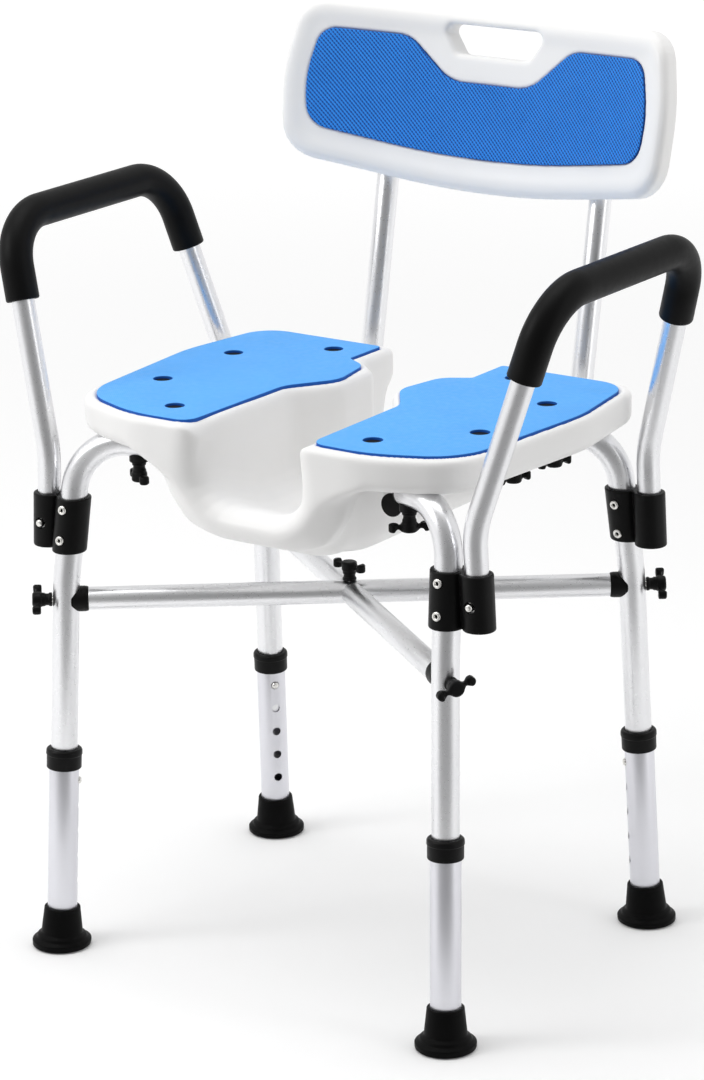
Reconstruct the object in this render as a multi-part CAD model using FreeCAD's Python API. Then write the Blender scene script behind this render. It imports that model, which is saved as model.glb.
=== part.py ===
"""Shower chair with an open-fronted hygiene seat, backrest, lift-off arms and telescoping legs.

Millimetres. +Z is up, the sitter faces -Y and +X is to the sitter's left. The frame is drawn
about the vertical line midway between the four feet; at the end every sub-part is shifted
forward together, so that the origin is on the floor under the middle of the whole chair.
"""
import FreeCAD, Part
import math
import os

V = FreeCAD.Vector

# ---- tube stock (outside radius, inside radius) ----
UPPER_LEG_R, UPPER_LEG_BORE = 12.7, 11.4
LOWER_LEG_R, LOWER_LEG_BORE = 14.3, 13.0
SMALL_TUBE_R, SMALL_TUBE_BORE = 11.0, 9.8

# ---- leg line of the front-left leg, mirrored to the other three ----
FOOT_X, FOOT_Y = 222.2, 177.5
KINK = V(214.2, 159.6, 360.0)
LEG_TOP = V(208.0, 140.3, 500.0)
LEG_KINK_RADIUS = 200.0
LEG_TOP_RADIUS = 52.0
SEAT_KNOB_X, SEAT_KNOB_Y = 152.0, 122.0
LEG_END_X = 146.0
UPPER_LEG_BOTTOM = 128.0

# ---- telescoping part of the leg, measured up the leg line from the floor ----
LOWER_LEG_BOTTOM = 9.0
COLLAR_TOP, COLLAR_HEIGHT, COLLAR_R, COLLAR_CAP = 200.0, 20.0, 17.2, 3.0
BUTTON_HEIGHT = 167.0
HOLE_PITCH, HOLE_COUNT = 25.4, 5
BUTTON_R, BUTTON_HOLE_R, BUTTON_STANDS = 3.6, 4.2, 2.4
SPRING_FRONT, SPRING_BACK, SPRING_WIDTH, SPRING_HEIGHT, SPRING_THICK = 9.0, 8.0, 7.0, 34.0, 1.0
FOOT_FLANGE_R, FOOT_FLANGE_H = 28.5, 7.0
FOOT_HEIGHT, FOOT_BASE_R, FOOT_NECK_R, FOOT_EDGE_ROUND = 40.0, 19.4, 17.0, 2.5
NIB_ROUND = 1.2

# ---- braces ----
BRACE_Z = 347.0
SADDLE_R, SADDLE_LENGTH, SPIGOT_LENGTH, STUD_SHORT_OF_END = 12.2, 8.5, 22.0, 6.0
CROSS_NECK_R, CROSS_REACH = 7.0, 36.0

# ---- arms ----
ARM_X, ARM_Y = 241.2, 147.5
ARM_SOCKET_Z = 420.0
ARM_LEAN_X = -0.0444
ARM_END_Z, ARM_BEND_Z = 399.0, 485.0
ARM_TOP_X, ARM_TOP_Y, ARM_TOP_Z = 299.5, 119.5, 696.0
ARM_LOW_RADIUS, ARM_HIGH_RADIUS = 90.0, 52.0
GRIP_R, GRIP_END_Z = 16.0, 622.0
CLAMP_LOW, CLAMP_HIGH = 394.0, 446.0
CLAMP_LEG_R, CLAMP_ARM_R = 16.5, 15.2
RIVET_Z = (405.0, 434.0)
RIVET_R, RIVET_HEAD_R, RIVET_HEAD_H, RIVET_HEAD_ROUND = 2.0, 4.2, 1.6, 0.7
ARM_BUTTON_Z = 418.0

# ---- seat ----
SEAT_LOW, SEAT_HIGH = 506.0, 538.5
PAD_LOW, PAD_HIGH = 537.5, 541.5
PAD_HOLE_R = 9.2
TROUGH_FLOOR, TROUGH_LIP, TROUGH_LOW = 441.0, 463.0, 408.0
TROUGH_HALF, TROUGH_BULGE_END = 61.0, -84.0
TROUGH_FLOOR_ROUND = 42.0
LOBE_WALL, POST_WALL, HOLLOW_HALF_GAP = 6.0, 4.0, 110.0
REST_HALF_X, REST_HALF_Y, REST_ROUND, REST_GAP = 16.0, 20.0, 5.0, 2.0
LEG_INSERT_GAP, LEG_INSERT_LENGTH = 1.5, 16.0
RAIL_INSERT_GAP, RAIL_INSERT_LENGTH = 2.0, 18.0
LEG_GROOVE_PAST_END = 6.0
SEAT_FRONT, SEAT_REAR = -168.0, 171.0

# ---- backrest: its front face is a cylinder wall that leans back ----
BACK_LEAN = math.degrees(math.atan(0.195))
BACK_CURVE_R = 600.0
BACK_FACE_Y, BACK_FACE_Z = 247.5, 780.0
BACK_THICK = 24.0
BACK_TUBE_X = 122.0
BACK_TUBE_Y, BACK_TUBE_TOP = 270.2, 806.0
BACK_BOSS_R, BACK_BOSS_LOW, BACK_BOSS_HIGH = 15.0, 712.0, 811.0
BACK_SCREW_Z = (742.0, 788.0)
SCREW_R, SCREW_HEAD_R, SCREW_HEAD_H = 2.2, 4.5, 2.5
RAIL_Z, RAIL_FRONT_Y, RAIL_RADIUS = 479.0, -105.0, 55.0
RAIL_KNOB_Y, RAIL_REST_Y = 98.0, -78.0

# ---- T-knobs ----
STUD_R, STUD_FIT_R, STUD_HOLE_R = 3.0, 3.05, 3.3
INSERT_R = 5.5
KNOB_STEM_R, KNOB_STEM_H = 6.0, 10.5
KNOB_BAR_LENGTH, KNOB_BAR_WIDTH, KNOB_BAR_H, KNOB_BAR_ROUND = 38.0, 10.0, 8.0, 3.5

SADDLE_H, SADDLE_WASHER_R = 5.0, 9.0
SEAT_STUD, CENTRE_STUD, CENTRE_TURN = 36.0, 13.0, 172.0

# ---- smaller details ----
SEAT_HOLLOW_LOW, SEAT_HOLLOW_HIGH = 517.0, 534.0
PAD_HOLES = ((179, 66), (179, -47), (111, -118), (104, 128))

PLUG_FLANGE, PLUG_REACH = 2.5, 12.0

# ---- gaps, and how far a cutting tool runs past what it cuts ----
CLEAR, PAST = 0.3, 20.0
SLIP = 0.05
SIDES = {"left": 1, "right": -1}
ENDS = {"front": -1, "rear": 1}
CORNERS = {f"{e}_{s}": (sx, sy) for e, sy in ENDS.items() for s, sx in SIDES.items()}
BACK_OUT = V(0, math.cos(math.radians(BACK_LEAN)), -math.sin(math.radians(BACK_LEAN)))


# ---------------------------------------------------------------- drawing helpers
def corner(point, sx, sy):
    """A point of the front-left pattern, carried to the corner with these signs."""
    return V(sx * point.x, sy * point.y, point.z)


def unit(v):
    return V(v).normalize()


def along(start, end, height):
    """The point of the line from start to end that is at this height."""
    return start + (end - start) * ((height - start.z) / (end.z - start.z))


def bent_path(points, radii):
    """Straight runs through the points, joined by tangent arcs of the given radii."""
    edges, last = [], points[0]
    for before, here, after, radius in zip(points, points[1:], points[2:], radii):
        a, b = unit(here - before), unit(after - here)
        half = a.getAngle(b) / 2
        back = radius * math.tan(half)
        centre = here + unit(b - a) * (radius / math.cos(half))
        start, end = here - a * back, here + b * back
        middle = centre + unit(here - centre) * radius
        edges += [Part.LineSegment(last, start).toShape(), Part.Arc(start, middle, end).toShape()]
        last = end
    edges.append(Part.LineSegment(last, points[-1]).toShape())
    return Part.Wire(edges)


def bent_rod(points, radii, radius):
    """A round bar of this radius along a bent path."""
    path = bent_path(points, radii)
    ring = Part.Wire(Part.makeCircle(radius, points[0], points[1] - points[0]))
    return path.makePipeShell([ring], True, False)


def bent_tube(points, radii, outer, inner):
    return bent_rod(points, radii, outer).cut(bent_rod(points, radii, inner))


def rod(start, end, radius):
    return Part.makeCylinder(radius, (end - start).Length, start, end - start)


def drill(shape, start, end, radius):
    return shape.cut(rod(start, end, radius))


def rounded_outline(corners, z=0.0):
    """A closed flat outline through (x, y, radius) corners, each rounded by its radius."""
    edges, starts, ends = [], [], []
    count = len(corners)
    for i, (x, y, radius) in enumerate(corners):
        before, here, after = corners[i - 1], V(x, y, z), corners[(i + 1) % count]
        a = unit(here - V(before[0], before[1], z))
        b = unit(V(after[0], after[1], z) - here)
        half = a.getAngle(b) / 2
        back = radius * math.tan(half)
        centre = here + unit(b - a) * (radius / math.cos(half))
        starts.append(here - a * back)
        ends.append(here + b * back)
        middle = centre + unit(here - centre) * radius
        edges.append(Part.Arc(starts[-1], middle, ends[-1]).toShape())
    for i in range(count):
        edges.append(Part.LineSegment(ends[i - 1], starts[i]).toShape())
    return Part.Wire(Part.__sortEdges__(edges))


def both_sides(right):
    """A whole outline from its right half, which runs from the bottom to the top."""
    return right + [(-x, z, r) for x, z, r in reversed(right)]


def slab(outline, low, high):
    """A flat plate between two heights with this outline."""
    face = Part.Face(outline)
    face.translate(V(0, 0, low - outline.BoundBox.ZMin))
    return face.extrude(V(0, 0, high - low))


def mirrored(shape):
    return shape.mirror(V(0, 0, 0), V(1, 0, 0))


PARTS = {}


def add(name, *solids):
    """Keeps one sub-part, or one group of separate like pieces, under its name."""
    PARTS[name] = solids[0] if len(solids) == 1 else Part.makeCompound(list(solids))


# ---------------------------------------------------------------- legs
LEG_FOOT = V(FOOT_X, FOOT_Y, 0)
LEG_END = LEG_TOP + (V(SEAT_KNOB_X, SEAT_KNOB_Y, LEG_TOP.z) - LEG_TOP) * (
    (LEG_TOP.x - LEG_END_X) / (LEG_TOP.x - SEAT_KNOB_X))
BRACE_END = along(LEG_FOOT, KINK, BRACE_Z)


def leg_points(sx, sy):
    bottom = along(LEG_FOOT, KINK, UPPER_LEG_BOTTOM)
    return [corner(p, sx, sy) for p in (bottom, KINK, LEG_TOP, LEG_END)]


def leg_at(height, sx, sy):
    """A point on the straight lower run of a leg."""
    return corner(along(LEG_FOOT, KINK, height), sx, sy)


def brace_line(sx, sy):
    """The leg's centre at brace height, and the way outward from the crossing."""
    centre = corner(BRACE_END, sx, sy)
    return centre, unit(V(centre.x, centre.y, 0))


def button_way(sx, sy):
    """From a leg inward to the middle of the chair, square to the leg."""
    axis = unit(leg_at(300, sx, sy) - leg_at(0, sx, sy))
    inward = V(-sx * FOOT_X, -sy * FOOT_Y, 0)
    return unit(inward - axis * inward.dot(axis))


def upper_leg(sx, sy):
    radii = [LEG_KINK_RADIUS, LEG_TOP_RADIUS]
    tube = bent_tube(leg_points(sx, sy), radii, UPPER_LEG_R, UPPER_LEG_BORE)
    centre, out = brace_line(sx, sy)
    tube = drill(tube, centre - out * PAST, centre + out * PAST, STUD_HOLE_R)
    knob = V(sx * SEAT_KNOB_X, sy * SEAT_KNOB_Y, LEG_TOP.z)
    tube = drill(tube, knob - V(0, 0, PAST), knob + V(0, 0, PAST), STUD_HOLE_R)
    button = leg_at(BUTTON_HEIGHT, sx, sy)
    tube = drill(tube, button, button + button_way(sx, sy) * PAST, BUTTON_HOLE_R)
    across = rivet_way(sx, sy) * 25
    for height in RIVET_Z:
        middle = upper_leg_line(height, sx, sy)
        tube = drill(tube, middle - across, middle + across, RIVET_R)
    return tube


def lower_leg(sx, sy):
    bottom, top = leg_at(LOWER_LEG_BOTTOM, sx, sy), leg_at(COLLAR_TOP - COLLAR_CAP, sx, sy)
    tube = rod(bottom, top, LOWER_LEG_R).cut(rod(bottom, top, LOWER_LEG_BORE))
    for step in range(HOLE_COUNT):
        hole = leg_at(BUTTON_HEIGHT - step * HOLE_PITCH, sx, sy)
        tube = drill(tube, hole, hole + button_way(sx, sy) * PAST, BUTTON_HOLE_R)
    return tube


def leg_collar(sx, sy):
    bottom, top = leg_at(COLLAR_TOP - COLLAR_HEIGHT, sx, sy), leg_at(COLLAR_TOP, sx, sy)
    seat = leg_at(COLLAR_TOP - COLLAR_CAP, sx, sy)
    ring = rod(bottom, top, COLLAR_R)
    ring = ring.cut(rod(bottom, seat, LOWER_LEG_R))
    return ring.cut(rod(bottom, top, LOWER_LEG_BORE))


def foot_tip(sx, sy):
    """A rubber foot: a flat flange on the floor and a cone up the leg."""
    floor = corner(LEG_FOOT, sx, sy)
    flange = Part.makeCylinder(FOOT_FLANGE_R, FOOT_FLANGE_H, floor)
    flange = flange.makeFillet(FOOT_EDGE_ROUND, flange.Edges)
    low, high = leg_at(4, sx, sy), leg_at(FOOT_HEIGHT, sx, sy)
    cone = Part.makeCone(FOOT_BASE_R, FOOT_NECK_R, (high - low).Length, low, high - low)
    foot = flange.fuse(cone).removeSplitter()
    return foot.cut(rod(leg_at(LOWER_LEG_BOTTOM, sx, sy), leg_at(60, sx, sy), LOWER_LEG_R))


def snap_button(base, way, up, standing):
    """A hairpin spring inside a tube, with the round nib that it pushes out of the wall.

    base is on the tube's centre line, way points out through the hole, and the spring
    reaches along the tube away from up.
    """
    span = SPRING_FRONT + SPRING_BACK
    half = SPRING_WIDTH / 2
    low = V(-SPRING_BACK, -half, BUTTON_R + 1 - SPRING_HEIGHT)
    spring = Part.makeBox(span, SPRING_WIDTH, SPRING_HEIGHT, low)
    gap_low = low + V(SPRING_THICK, 0, SPRING_THICK)
    gap = Part.makeBox(span - 2 * SPRING_THICK, SPRING_WIDTH, SPRING_HEIGHT, gap_low)
    nib = rod(V(SPRING_FRONT - SPRING_THICK, 0, 0), V(standing, 0, 0), BUTTON_R)
    nib = nib.makeFillet(NIB_ROUND, [nib.Edges[0]])
    button = spring.cut(gap).fuse(nib)
    turn = FreeCAD.Rotation(way, up.cross(way), up, "XZY")
    button.Placement = FreeCAD.Placement(base, turn)
    return button


def leg_button(sx, sy):
    up = unit(leg_at(300, sx, sy) - leg_at(0, sx, sy))
    base = leg_at(BUTTON_HEIGHT, sx, sy)
    return snap_button(base, button_way(sx, sy), up, LOWER_LEG_R + BUTTON_STANDS)


# ---------------------------------------------------------------- arms
def arm_points(sx):
    low = V(ARM_X + ARM_LEAN_X * (ARM_END_Z - ARM_SOCKET_Z), ARM_Y, ARM_END_Z)
    bend = V(ARM_X + ARM_LEAN_X * (ARM_BEND_Z - ARM_SOCKET_Z), ARM_Y, ARM_BEND_Z)
    top = V(ARM_TOP_X, ARM_TOP_Y, ARM_TOP_Z)
    front = [corner(p, sx, -1) for p in (low, bend, top)]
    return front + [corner(p, sx, 1) for p in (top, bend, low)]


def arm_axis(height, sx, sy):
    """A point on the centre line of an arm socket."""
    return corner(V(ARM_X + ARM_LEAN_X * (height - ARM_SOCKET_Z), ARM_Y, height), sx, sy)


def arm_tube(sx):
    radii = [ARM_LOW_RADIUS, ARM_HIGH_RADIUS, ARM_HIGH_RADIUS, ARM_LOW_RADIUS]
    tube = bent_tube(arm_points(sx), radii, SMALL_TUBE_R, SMALL_TUBE_BORE)
    for sy in ENDS.values():
        button = arm_axis(ARM_BUTTON_Z, sx, sy)
        tube = drill(tube, button, button + V(0, PAST * sy, 0), BUTTON_HOLE_R)
    return tube


def arm_grip(sx):
    """The foam sleeve over the bent top of an arm."""
    points = arm_points(sx)
    front = along(points[1], points[2], GRIP_END_Z)
    rear = along(points[4], points[3], GRIP_END_Z)
    path = [front, points[2], points[3], rear]
    radii = [ARM_HIGH_RADIUS, ARM_HIGH_RADIUS]
    return bent_tube(path, radii, GRIP_R, SMALL_TUBE_R)


def arm_button(sx, sy):
    base = arm_axis(ARM_BUTTON_Z, sx, sy)
    down = unit(arm_axis(ARM_END_Z, sx, sy) - base)
    return snap_button(base, V(0, sy, 0), down, CLAMP_ARM_R + BUTTON_STANDS)


def upper_leg_line(height, sx, sy):
    return corner(along(KINK, LEG_TOP, height), sx, sy)


def rivet_way(sx, sy):
    """The way of a rivet: rearward, square to the leg."""
    axis = corner(LEG_TOP - KINK, sx, sy).normalize()
    rearward = V(0, 1, 0)
    return unit(rearward - axis * rearward.dot(axis))


def arm_socket(sx, sy):
    """A moulded clamp: one sleeve round the leg and one blind sleeve for the arm tube."""
    leg_low, leg_high = (upper_leg_line(z, sx, sy) for z in (CLAMP_LOW, CLAMP_HIGH))
    arm_low, arm_high = (arm_axis(z, sx, sy) for z in (CLAMP_LOW, CLAMP_HIGH))
    socket = rod(leg_low, leg_high, CLAMP_LEG_R).fuse(rod(arm_low, arm_high, CLAMP_ARM_R))
    past = (leg_high - leg_low) * 0.3
    socket = socket.cut(rod(leg_low - past, leg_high + past, UPPER_LEG_R))
    arm_stop = arm_axis(ARM_END_Z - CLEAR, sx, sy)
    socket = socket.cut(rod(arm_stop, arm_axis(CLAMP_HIGH + PAST, sx, sy), SMALL_TUBE_R + SLIP))
    button = arm_axis(ARM_BUTTON_Z, sx, sy)
    socket = drill(socket, button, button + V(0, PAST * sy, 0), BUTTON_HOLE_R)
    across = rivet_way(sx, sy) * 25
    for height in RIVET_Z:
        middle = upper_leg_line(height, sx, sy)
        socket = drill(socket, middle - across, middle + across, RIVET_R)
    return socket


def rivet(middle, across):
    """A rivet through the leg sleeve and the leg, with a domed head on the front and rear."""
    half = CLAMP_LEG_R + 0.1
    shank = rod(middle - across * half, middle + across * half, RIVET_R)
    for way in (-across, across):
        head = Part.makeCylinder(RIVET_HEAD_R, RIVET_HEAD_H, middle + way * half, way)
        shank = shank.fuse(head.makeFillet(RIVET_HEAD_ROUND, [head.Edges[0]]))
    return shank


# ---------------------------------------------------------------- braces under the seat
def brace_inner(sx, sy):
    """Where the brace tube stops, at the flange of its end saddle."""
    centre, out = brace_line(sx, sy)
    return centre - out * (UPPER_LEG_R + SADDLE_LENGTH)


def long_brace():
    start, end = brace_inner(-1, -1), brace_inner(1, 1)
    tube = rod(start, end, SMALL_TUBE_R).cut(rod(start, end, SMALL_TUBE_BORE))
    cross = V(BRACE_END.x, -BRACE_END.y, 0).normalize()
    middle = V(0, 0, BRACE_Z)
    tube = drill(tube, middle - cross * PAST, middle + cross * PAST, CROSS_NECK_R)
    return drill(tube, middle, middle + V(0, 0, PAST), STUD_HOLE_R)


def half_brace(sx, sy):
    """Half of the other brace, coped to fit against the long one."""
    middle, end = V(0, 0, BRACE_Z), brace_inner(sx, sy)
    tube = rod(middle, end, SMALL_TUBE_R).cut(rod(middle, end, SMALL_TUBE_BORE))
    tube = tube.cut(rod(brace_inner(-1, -1), brace_inner(1, 1), SMALL_TUBE_R))
    return drill(tube, middle, middle + V(0, 0, PAST), STUD_HOLE_R)


def brace_spigot():
    """The cross pin: its neck passes through the long brace, its ends plug the half braces."""
    way = V(BRACE_END.x, -BRACE_END.y, 0).normalize()
    middle = V(0, 0, BRACE_Z)
    ends = rod(middle - way * CROSS_REACH, middle + way * CROSS_REACH, SMALL_TUBE_BORE)
    ends = ends.cut(rod(brace_inner(-1, -1), brace_inner(1, 1), SMALL_TUBE_R))
    neck = rod(middle - way * CROSS_REACH, middle + way * CROSS_REACH, CROSS_NECK_R)
    long_way = unit(V(BRACE_END.x, BRACE_END.y, 0))
    core = neck.common(rod(middle - long_way * 40, middle + long_way * 40, SMALL_TUBE_R))
    pin = ends.fuse(core)
    return drill(pin, middle - V(0, 0, 4), middle + V(0, 0, PAST), STUD_FIT_R)


def brace_saddle(sx, sy):
    """A black end plug whose flange is hollowed to sit against the round leg."""
    centre, out = brace_line(sx, sy)
    inner = brace_inner(sx, sy)
    plug = rod(inner, centre, SADDLE_R).fuse(rod(inner - out * SPIGOT_LENGTH, inner, SMALL_TUBE_BORE))
    plug = plug.cut(rod(leg_at(300, sx, sy), upper_leg_kink(sx, sy), UPPER_LEG_R))
    return drill(plug, inner - out * (SPIGOT_LENGTH - STUD_SHORT_OF_END / 2), centre, STUD_FIT_R)


def upper_leg_kink(sx, sy):
    """A point on the straight lower run of the leg, carried on past the brace."""
    return leg_at(KINK.z + 40, sx, sy)


# ---------------------------------------------------------------- T-knobs
def t_knob(foot, out, stud_length, turn):
    """A moulded T-knob with its steel stud: the stem stands on foot and points out."""
    bar_low = KNOB_STEM_H
    half_x, half_y = KNOB_BAR_LENGTH / 2, KNOB_BAR_WIDTH / 2
    bar = Part.makeBox(KNOB_BAR_LENGTH, KNOB_BAR_WIDTH, KNOB_BAR_H, V(-half_x, -half_y, bar_low))
    upright = [e for e in bar.Edges if e.BoundBox.ZLength > KNOB_BAR_H / 2]
    bar = bar.makeFillet(KNOB_BAR_ROUND, upright)
    stem = Part.makeCylinder(KNOB_STEM_R, KNOB_STEM_H + 1)
    stud = rod(V(0, 0, -stud_length), V(0, 0, 1), STUD_R)
    knob = bar.fuse([stem, stud]).removeSplitter()
    knob.rotate(V(0, 0, 0), V(0, 0, 1), turn)
    knob.Placement = FreeCAD.Placement(foot, FreeCAD.Rotation(V(0, 0, 1), out)) * knob.Placement
    return knob


def brace_knob(sx, sy, turn):
    centre, out = brace_line(sx, sy)
    stud = CLEAR + 2 * UPPER_LEG_R + SADDLE_LENGTH + SPIGOT_LENGTH - STUD_SHORT_OF_END
    return t_knob(centre + out * (UPPER_LEG_R + CLEAR), out, stud, turn)


def leg_seat_knob(sx, sy, turn):
    foot = V(sx * SEAT_KNOB_X, sy * SEAT_KNOB_Y, LEG_TOP.z - UPPER_LEG_R - SADDLE_H - CLEAR)
    return t_knob(foot, V(0, 0, -1), SEAT_STUD, turn)


def rail_seat_knob(sx, turn):
    foot = V(sx * BACK_TUBE_X, RAIL_KNOB_Y, RAIL_Z - SMALL_TUBE_R - CLEAR)
    return t_knob(foot, V(0, 0, -1), SEAT_STUD, turn)


def seat_knob_saddle(sx, sy):
    """A small black washer, hollowed to sit under the leg tube."""
    middle = V(sx * SEAT_KNOB_X, sy * SEAT_KNOB_Y, LEG_TOP.z)
    low = middle - V(0, 0, UPPER_LEG_R + SADDLE_H)
    washer = rod(low, middle, SADDLE_WASHER_R)
    way = corner(LEG_END - LEG_TOP, sx, sy)
    washer = washer.cut(rod(middle - way, middle + way, UPPER_LEG_R))
    return drill(washer, low, middle, STUD_HOLE_R)


# ---------------------------------------------------------------- seat
def seat_outline():
    right = [(135, SEAT_FRONT, 150), (220, -134, 66), (236, 52, 140), (218, SEAT_REAR, 36)]
    return rounded_outline(both_sides(right))


def trough_outline():
    """The trough seen from above: narrow at the middle, wider at its open front and rear."""
    right = [(58, SEAT_FRONT - 30, 1), (58, -8, 30), (28, 34, 26), (28, 88, 20), (60, 116, 14),
             (60, SEAT_REAR + 30, 1)]
    return rounded_outline(both_sides(right))


def pad_outline():
    """The left seat pad seen from above."""
    return rounded_outline([
        (68, -155, 16), (132, -157, 130), (211, -125, 62), (226, 52, 150), (209, 160, 34),
        (70, 160, 4), (70, 107, 4), (44, 92, 24), (34, 38, 30), (66, -8, 34)])


def upright_prism(corners, y_low, y_high):
    """An outline of (x, z, radius) corners, drawn in the upright plane and carried along Y."""
    prism = slab(rounded_outline(corners), 0, y_high - y_low)
    prism.rotate(V(0, 0, 0), V(1, 0, 0), 90)
    prism.translate(V(0, y_high, 0))
    return prism


def side_prism(corners, half):
    """An outline of (y, z, radius) corners, seen from the side and carried half each way in X."""
    prism = upright_prism(corners, -half, half)
    prism.rotate(V(0, 0, 0), V(0, 0, 1), 90)
    return prism


def trough_body():
    """The outside of the trough: a rounded keel with a wider bulge under the front."""
    right = [(70, TROUGH_LOW, 30), (80, 455, 60), (112, 515, 2)]
    bulge_right = [(40, 412, 40), (89, 434, 30), (102, 480, 60), (107, 515, 2)]
    keel = upright_prism(both_sides(right), SEAT_FRONT - 5, SEAT_REAR + 5)
    keel = keel.fuse(upright_prism(both_sides(bulge_right), SEAT_FRONT - 5, TROUGH_BULGE_END))
    front, rear = SEAT_FRONT + 1, SEAT_REAR - 6
    side = [(front, 560, 1), (front, 440, 26), (-100, 412, 60), (-40, TROUGH_LOW, 60),
            (131, TROUGH_LOW, 20), (rear, 520, 1), (rear, 560, 1)]
    return keel.common(side_prism(side, 150))


def trough_hollow():
    """The inside of the trough: a round-bottomed channel whose floor rises to the front lip."""
    section = [(-TROUGH_HALF, TROUGH_FLOOR, TROUGH_FLOOR_ROUND),
               (TROUGH_HALF, TROUGH_FLOOR, TROUGH_FLOOR_ROUND),
               (TROUGH_HALF, 580, 2), (-TROUGH_HALF, 580, 2)]
    channel = upright_prism(section, SEAT_FRONT - PAST, SEAT_REAR + PAST)
    front, rear = SEAT_FRONT - 40, SEAT_REAR + 40
    side = [(front, TROUGH_LIP, 1), (-140, TROUGH_LIP, 60), (-70, TROUGH_FLOOR, 60),
            (rear, TROUGH_FLOOR, 1), (rear, 590, 1), (front, 590, 1)]
    within = slab(trough_outline(), TROUGH_FLOOR - PAST, 570)
    return channel.common(side_prism(side, 150)).common(within)


def lobe_hollows():
    """The two closed air spaces that blow moulding leaves inside the seat."""
    inset = seat_outline().makeOffset2D(-LOBE_WALL)
    space = slab(inset, SEAT_HOLLOW_LOW, SEAT_HOLLOW_HIGH)
    middle = Part.makeBox(2 * HOLLOW_HALF_GAP, 500, 100, V(-HOLLOW_HALF_GAP, -250, SEAT_LOW))
    space = space.cut(middle)
    for sx, sy in CORNERS.values():
        stud = V(sx * SEAT_KNOB_X, sy * SEAT_KNOB_Y, SEAT_LOW)
        space = space.cut(rod(stud, stud + V(0, 0, 40), INSERT_R + POST_WALL))
    for sx in SIDES.values():
        stud = V(sx * BACK_TUBE_X, RAIL_KNOB_Y, SEAT_LOW)
        space = space.cut(rod(stud, stud + V(0, 0, 40), INSERT_R + POST_WALL))
    return space


def rail_bosses():
    """Blocks under the seat that rest on the rails."""
    blocks = []
    for sx in SIDES.values():
        for y in (RAIL_KNOB_Y, RAIL_REST_Y):
            low = V(sx * BACK_TUBE_X - REST_HALF_X, y - REST_HALF_Y, RAIL_Z + REST_GAP)
            tall = SEAT_LOW + 2 * REST_GAP - RAIL_Z
            block = Part.makeBox(2 * REST_HALF_X, 2 * REST_HALF_Y, tall, low)
            upright = [e for e in block.Edges if e.BoundBox.ZLength > 20]
            blocks.append(block.makeFillet(REST_ROUND, upright))
    return blocks


def insert_places():
    """The foot of each threaded insert, and how far up it reaches."""
    leg_z = LEG_TOP.z + UPPER_LEG_R + LEG_INSERT_GAP
    rail_z = RAIL_Z + SMALL_TUBE_R + RAIL_INSERT_GAP
    places = [(V(sx * SEAT_KNOB_X, sy * SEAT_KNOB_Y, leg_z), LEG_INSERT_LENGTH)
              for sx, sy in CORNERS.values()]
    places += [(V(sx * BACK_TUBE_X, RAIL_KNOB_Y, rail_z), RAIL_INSERT_LENGTH)
               for sx in SIDES.values()]
    return places


def seat_inserts():
    rings = []
    for foot, length in insert_places():
        top = foot + V(0, 0, length)
        rings.append(rod(foot, top, INSERT_R).cut(rod(foot, top, STUD_FIT_R)))
    return rings


def seat_shell():
    lobes = slab(seat_outline(), SEAT_LOW, SEAT_HIGH)
    shell = lobes.fuse([trough_body()] + rail_bosses())
    shell = shell.cut(trough_hollow()).cut(lobe_hollows())
    for sx in SIDES.values():
        shell = shell.cut(bent_rod(back_points(sx), [RAIL_RADIUS], SMALL_TUBE_R))
    for sx, sy in CORNERS.values():
        radii = [LEG_KINK_RADIUS, LEG_TOP_RADIUS]
        points = leg_points(sx, sy)
        inward = unit(points[3] - points[2])
        points[3] = points[3] + inward * LEG_GROOVE_PAST_END
        shell = shell.cut(bent_rod(points, radii, UPPER_LEG_R))
    for foot, length in insert_places():
        shell = shell.cut(rod(foot, foot + V(0, 0, length), INSERT_R))
        shell = shell.cut(rod(foot - V(0, 0, 8), foot, STUD_HOLE_R))
    for pad in seat_pads():
        shell = shell.cut(pad)
    for sx in SIDES.values():
        for x, y in PAD_HOLES:
            low = V(sx * x, y, PAD_LOW - 0.5)
            shell = shell.cut(rod(low, low + V(0, 0, 5), PAD_HOLE_R))
    return max(shell.Solids, key=lambda solid: solid.Volume)


def seat_pads():
    left = slab(pad_outline(), PAD_LOW, PAD_HIGH)
    for x, y in PAD_HOLES:
        low = V(x, y, PAD_LOW)
        left = drill(left, low, low + V(0, 0, 8), PAD_HOLE_R)
    return left, mirrored(left)


# ---------------------------------------------------------------- backrest and its tubes
def back_line(z, sx=1):
    """A point on the leaning centre line of a back tube."""
    lean = math.tan(math.radians(BACK_LEAN))
    return V(sx * BACK_TUBE_X, BACK_TUBE_Y + (z - BACK_FACE_Z) * lean, z)


def back_points(sx):
    front = V(sx * BACK_TUBE_X, RAIL_FRONT_Y, RAIL_Z)
    return [front, back_line(RAIL_Z, sx), back_line(BACK_TUBE_TOP, sx)]


def back_tube(sx):
    tube = bent_tube(back_points(sx), [RAIL_RADIUS], SMALL_TUBE_R, SMALL_TUBE_BORE)
    knob = V(sx * BACK_TUBE_X, RAIL_KNOB_Y, RAIL_Z)
    tube = drill(tube, knob - V(0, 0, PAST), knob + V(0, 0, PAST), STUD_HOLE_R)
    for z in BACK_SCREW_Z:
        middle = back_line(z, sx)
        tube = drill(tube, middle, middle + BACK_OUT * PAST, SCREW_R)
    return tube


def lean_back(shape):
    shape.rotate(V(0, BACK_FACE_Y, BACK_FACE_Z), V(1, 0, 0), -BACK_LEAN)
    return shape


def curved_wall(depth_front, depth_rear):
    """Part of an upright pipe wall, at these depths behind the backrest's front face."""
    axis = V(0, BACK_FACE_Y - BACK_CURVE_R, 600)
    outer = Part.makeCylinder(BACK_CURVE_R + depth_rear, 400, axis)
    return outer.cut(Part.makeCylinder(BACK_CURVE_R + depth_front, 400, axis))


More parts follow.
